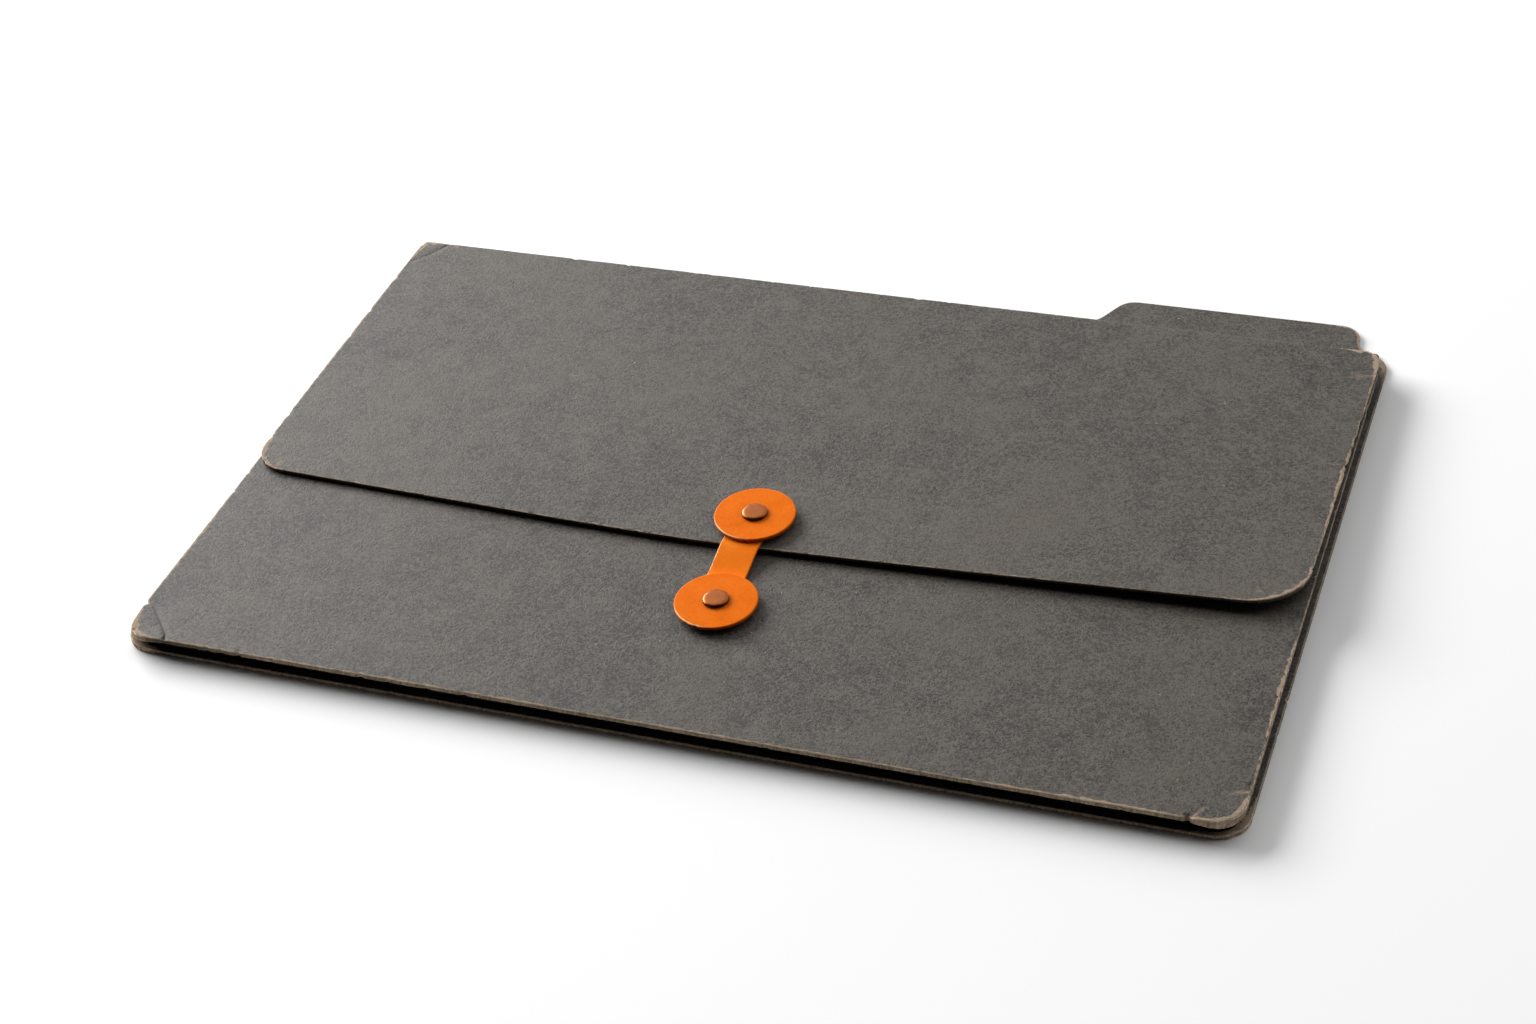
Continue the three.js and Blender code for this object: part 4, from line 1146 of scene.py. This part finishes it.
# The strap steps up onto the flap between the lower button's rim and the flap's free edge
step_start = button_radius + STRAP_STEP_GAP
step_end = flap_edge(lower_centre.x) - lower_centre.y - STRAP_STEP_GAP
span = math.hypot(upper_centre.x - lower_centre.x, upper_centre.y - lower_centre.y)
half_strap = STRAP_WIDTH / 2
strap_end = span + STRAP_TONGUE


def strap_lean(y):
    """How far the strap hangs out to the right, in mm: it has slewed a little on the lower rivet."""
    return STRAP_LEAN * (y - span)


def strap_outline():
    """The strap from its eye at the origin to its tongue, with the arc-shaped slot of its hook."""
    exit_turn = math.asin((half_strap + BUTTON_BORE) / (span - BUTTON_BORE))
    round_shank = [(BUTTON_BORE * math.cos(t), span + BUTTON_BORE * math.sin(t), 0)
                   for t in np.linspace(1.5 * math.pi, math.pi / 2, HOOK_STEPS)]
    near_side, far_side = (
        [(min(reach * math.sin(t), half_strap), reach * math.cos(t), 0) for t in turns
         if reach * math.sin(t) < half_strap + 1]
        for reach, turns in (
            (span - BUTTON_BORE, np.linspace(exit_turn, 0, SLOT_STEPS)[:-1]),
            (span + BUTTON_BORE, np.linspace(0, exit_turn, SLOT_STEPS)[1:]),
        )
    )
    foot = strap_lean(-half_strap)
    return [
        (foot - half_strap, -half_strap, STRAP_EYE_CORNER),
        (foot + half_strap, -half_strap, STRAP_EYE_CORNER),
        *near_side, *round_shank, *far_side,
        (half_strap, strap_end, STRAP_TONGUE_CORNER), (-half_strap, strap_end, STRAP_TONGUE_CORNER),
    ]


strap_face = rounded(strap_outline(), FIBRE_STEP)
strap_face = strap_face + inward_of(strap_face) * STRAP_ARRIS


def strap_bottom(points):
    """It steps up halfway between a straight ramp and an eased one."""
    share = ramp(points[:, 1], step_start, step_end)
    return strap_low.z + (strap_upper_z - strap_low.z) * (share + eased(share)) / 2


def strap_top(points):
    return strap_bottom(points) + STRAP_MM + drifting(points, *STRAP_WAVE)


def strap_highlight(points):
    """A painted highlight along its left side only."""
    left = points[:, 0] - strap_lean(points[:, 1]) < STRAP_HIGHLIGHT_MM - half_strap
    return left * drifting(points, *STRAP_HIGHLIGHT)


strap_turn = math.atan2(upper_centre.y - lower_centre.y, upper_centre.x - lower_centre.x) - math.pi / 2
strap_place = Matrix.Translation(Vector((lower_centre.x, lower_centre.y, 0)) * MM)
strap_place = strap_place @ Matrix.Rotation(strap_turn, 4, "Z")
strap_cut = die_cut(strap_face, [(0, 0, BUTTON_BORE)], rows=FIBRE_ROWS, grid=FIBRE_GRID)
stamped(
    "tie_strap_fibre", strap_cut, strap_face, strap_top, strap_bottom, STRAP_ARRIS,
    used_edge(strap_face, STRAP_SEED, fray=FIBRE_FRAY, count=0), strap_highlight, "strap",
    "tie_strap", strap_fibre_lit_copy, place=strap_place,
)

# Buttons, two discs of the same fibre, each loose on its rivet. Their faces are a little dished, and their
# rims have been knocked: each knock is a turn in degrees from the right, a width and a depth in mm.
BUTTON_KNOCKS = {
    "upper": [(83, 0.6, 0.35), (276, 0.9, 0.2), (312, 0.8, 0.12), (35, 0.8, 0.1)],
    "lower": [(246, 0.9, 0.15), (262, 1.0, 0.25), (300, 0.8, 0.15), (120, 0.8, 0.1)],
}
BUTTON_DISH = 0.1
BUTTON_WAVE = 0, 0.03, 8
# The rim's painted highlight: its width all round in mm, then where it is strongest as base, drift, span and
# seed
BUTTON_RIM_HIGHLIGHT, BUTTON_HIGHLIGHT = 0.04, (0.55, 0.2, 3, 62)
# Where the rim's painted highlight lies, as shares of the button's radius: x, y and reach
HIGHLIGHT_X, HIGHLIGHT_Y, HIGHLIGHT_REACH = -0.52, -0.86, 0.9
# A ring of painted shade lies round the rivet's head, but for a gap at the front right
HEAD_SHADE_WIDTH, HEAD_SHADE_TURNS = 0.7, np.linspace(-0.8, 2 * math.pi - 1, 40)
BUTTON_SEED = 71
button_turns = np.arange(0, 2 * math.pi, FIBRE_STEP / face_radius)
button_face = face_radius * np.stack([np.cos(button_turns), np.sin(button_turns)], 1)
button_cut = die_cut(button_face, [(0, 0, BUTTON_BORE)], rows=FIBRE_ROWS, grid=FIBRE_GRID)
head_radius = (lower_rivet_high.x - lower_rivet_low.x) / 2
head_shade_ring = scar(
    [(head_radius * math.cos(t), head_radius * math.sin(t)) for t in HEAD_SHADE_TURNS], HEAD_SHADE_WIDTH, dark=0.8,
)


def button_highlight(points):
    """The width of the rim's painted highlight, most at its front left."""
    lit_side = near(points, HIGHLIGHT_X * face_radius, HIGHLIGHT_Y * face_radius, HIGHLIGHT_REACH * face_radius)
    return BUTTON_RIM_HIGHLIGHT + drifting(points, *BUTTON_HIGHLIGHT) * lit_side


for seed, (side, centre) in enumerate((("lower", lower_centre), ("upper", upper_centre)), BUTTON_SEED):
    button_low, button_high = box_mm(f"{side}_button")
    knocks = [(face_radius * math.cos(math.radians(t)), face_radius * math.sin(math.radians(t)), width, depth)
              for t, width, depth in BUTTON_KNOCKS[side]]

    def button_top(points, rim_z=button_high.z, seed=seed):
        dish = BUTTON_DISH * (np.hypot(points[:, 0], points[:, 1]) / face_radius) ** 2
        return rim_z - dish + drifting(points, *BUTTON_WAVE, seed)

    def button_bottom(points, rest_z=button_low.z):
        return np.full(len(points), rest_z)

    stamped(
        f"{side}_button_fibre", button_cut, button_face, button_top, button_bottom, FIBRE_ARRIS,
        used_edge(button_face, seed, knocks, fray=FIBRE_FRAY, count=0), button_highlight, f"{side}_button",
        f"{side}_button", fibre, marks=[head_shade_ring],
        place=Matrix.Translation(Vector((centre.x, centre.y, 0)) * MM),
    )

# Rivets, turned copper-plated steel with a low flat head, set through button, strap and board and flared
# into a burr behind, over a kraft paper patch that keeps the board from tearing.
RIVET_STEPS = 64
# The head's outline as shares of its radius and of its height, with a bevelled rim
HEAD_PROFILE = (
    (0.96, 0.0), (1.0, 0.1), (1.0, 0.42), (0.985, 0.62), (0.94, 0.8), (0.86, 0.93), (0.8, 0.97), (0.6, 0.99),
    (0.3, 1.0),
)
HEAD_GAP, HEAD_DENT, HEAD_DENT_SPAN, HEAD_RIM = 0.02, 0.03, 2, 0.3
SHANK_RADIUS, FLARE_RADIUS, FLARE_MM = 2.0, 3.0, 0.45
# Sizes in the copper's and the kraft paper's look, in mm
GRIT_MM, GRIT_RELIEF_MM, STAIN_MM, KRAFT_RELIEF_MM = 0.35, 0.03, 2.2, 0.05


def aged_copper():
    """Copper plate gone brown: dull on top, where fine grit has scoured it, and near black round the rim,
    tarnish and painted shade together.
    """
    finish, tree = new_finish("aged_copper_plate")
    place = add(tree, "TexCoord").outputs["Object"]
    grit = add(tree, "TexNoise", {"Vector": place, "Scale": scale_of(GRIT_MM), "Detail": 3.0})
    stain = add(tree, "TexNoise", {"Vector": place, "Scale": scale_of(STAIN_MM), "Detail": 4.0})
    colour = add(tree, "Mix", {0: stain, 6: linear("764019"), 7: linear("a65f2b")}, data_type="RGBA")
    scoured = add(tree, "MapRange", {"Value": grit, "From Min": 0.35, "From Max": 0.65, "To Max": 0.3})
    colour = add(tree, "Mix", {0: scoured, 6: colour, 7: linear("5c3824")}, data_type="RGBA")
    rim = add(tree, "Attribute", attribute_name="rim").outputs["Fac"]
    # The head's side is darkened nearly black: tarnish, and painted shade
    tarnish_and_shade = add(tree, "MapRange", {"Value": rim, "From Min": 0.94, "From Max": 1.0, "To Max": 0.85},
                  interpolation_type="SMOOTHSTEP")
    colour = add(tree, "Mix", {0: tarnish_and_shade, 6: colour, 7: linear("3c2212")}, data_type="RGBA")
    gloss = add(tree, "MapRange", {
        "Value": stain, "From Min": 0.3, "From Max": 0.7, "To Min": 0.46, "To Max": 0.6,
    })
    # Fingers keep the bevel a little brighter
    bevel = add(tree, "MapRange", {"Value": rim, "From Min": 0.74, "From Max": 0.84, "To Max": 0.2})
    gloss = add(tree, "Math", {0: gloss, 1: bevel}, operation="SUBTRACT")
    relief = add(tree, "Bump", {"Height": grit, "Strength": 0.35, "Distance": GRIT_RELIEF_MM * MM})
    surface = add(tree, "BsdfPrincipled", {
        "Base Color": colour, "Metallic": 1.0, "Roughness": gloss, "Normal": relief,
    })
    add(tree, "OutputMaterial", {"Surface": surface})
    return finish


def kraft_paper():
    """Black kraft paper: matt, with short fibres that catch the light."""
    finish, tree = new_finish("black_kraft_paper")
    place = add(tree, "TexCoord").outputs["Object"]
    fibres = add(tree, "TexNoise", {"Vector": place, "Scale": scale_of(PULP_MM), "Detail": 4.0})
    colour = add(tree, "Mix", {0: fibres, 6: linear("1c1b1a"), 7: linear("3b3937")}, data_type="RGBA")
    relief = add(tree, "Bump", {"Height": fibres, "Strength": 0.3, "Distance": KRAFT_RELIEF_MM * MM})
    surface = add(tree, "BsdfPrincipled", {
        "Base Color": colour, "Roughness": 0.85, "IOR": 1.5, "Normal": relief,
    })
    add(tree, "OutputMaterial", {"Surface": surface})
    return finish


copper = aged_copper()
kraft = kraft_paper()
rivet_turns = np.arange(RIVET_STEPS) * 2 * math.pi / RIVET_STEPS
for side, centre, body in (("lower", lower_centre, "front_panel"), ("upper", upper_centre, "flap")):
    rivet_low, rivet_high = box_mm(f"{side}_rivet")
    head_bottom = box_mm(f"{side}_button")[1].z + HEAD_GAP
    head_rise = rivet_high.z - head_bottom
    profile = [(FLARE_RADIUS, rivet_low.z), (SHANK_RADIUS, rivet_low.z + FLARE_MM)]
    profile.append((SHANK_RADIUS, head_bottom))
    profile += [(head_radius * r, head_bottom + head_rise * h) for r, h in HEAD_PROFILE]
    vertices = []
    for radius, height in profile:
        for turn in rivet_turns:
            x, y = radius * math.cos(turn), radius * math.sin(turn)
            dent = 0
            if height > head_bottom + HEAD_RIM:
                dent = HEAD_DENT * noise.noise(Vector((x / HEAD_DENT_SPAN, y / HEAD_DENT_SPAN, height)))
            vertices.append((centre.x + x, centre.y + y, height + dent))
    vertices.append((centre.x, centre.y, rivet_high.z))
    faces = ring_quads(len(profile), RIVET_STEPS)
    last = len(vertices) - 1 - RIVET_STEPS
    faces.append(tuple(reversed(range(RIVET_STEPS))))
    faces += [(last + k, last + (k + 1) % RIVET_STEPS, last + RIVET_STEPS) for k in range(RIVET_STEPS)]
    mesh = bpy.data.meshes.new(f"{side}_rivet_turned")
    mesh.from_pydata(np.array(vertices) * MM, [], faces)
    across = np.hypot(*(np.array(vertices)[:, :2] - (centre.x, centre.y)).T) / head_radius
    mesh.attributes.new("rim", "FLOAT", "POINT").data.foreach_set("value", across.astype(np.float32))
    mesh.shade_smooth()
    mesh.materials.append(copper)
    rivet = placed(mesh)
    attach(rivet, body)
    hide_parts(f"{side}_rivet")
    for node, finish in ((f"{side}_burr", copper), (f"{side}_patch", kraft)):
        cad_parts[node].data.materials.clear()
        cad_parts[node].data.materials.append(finish)
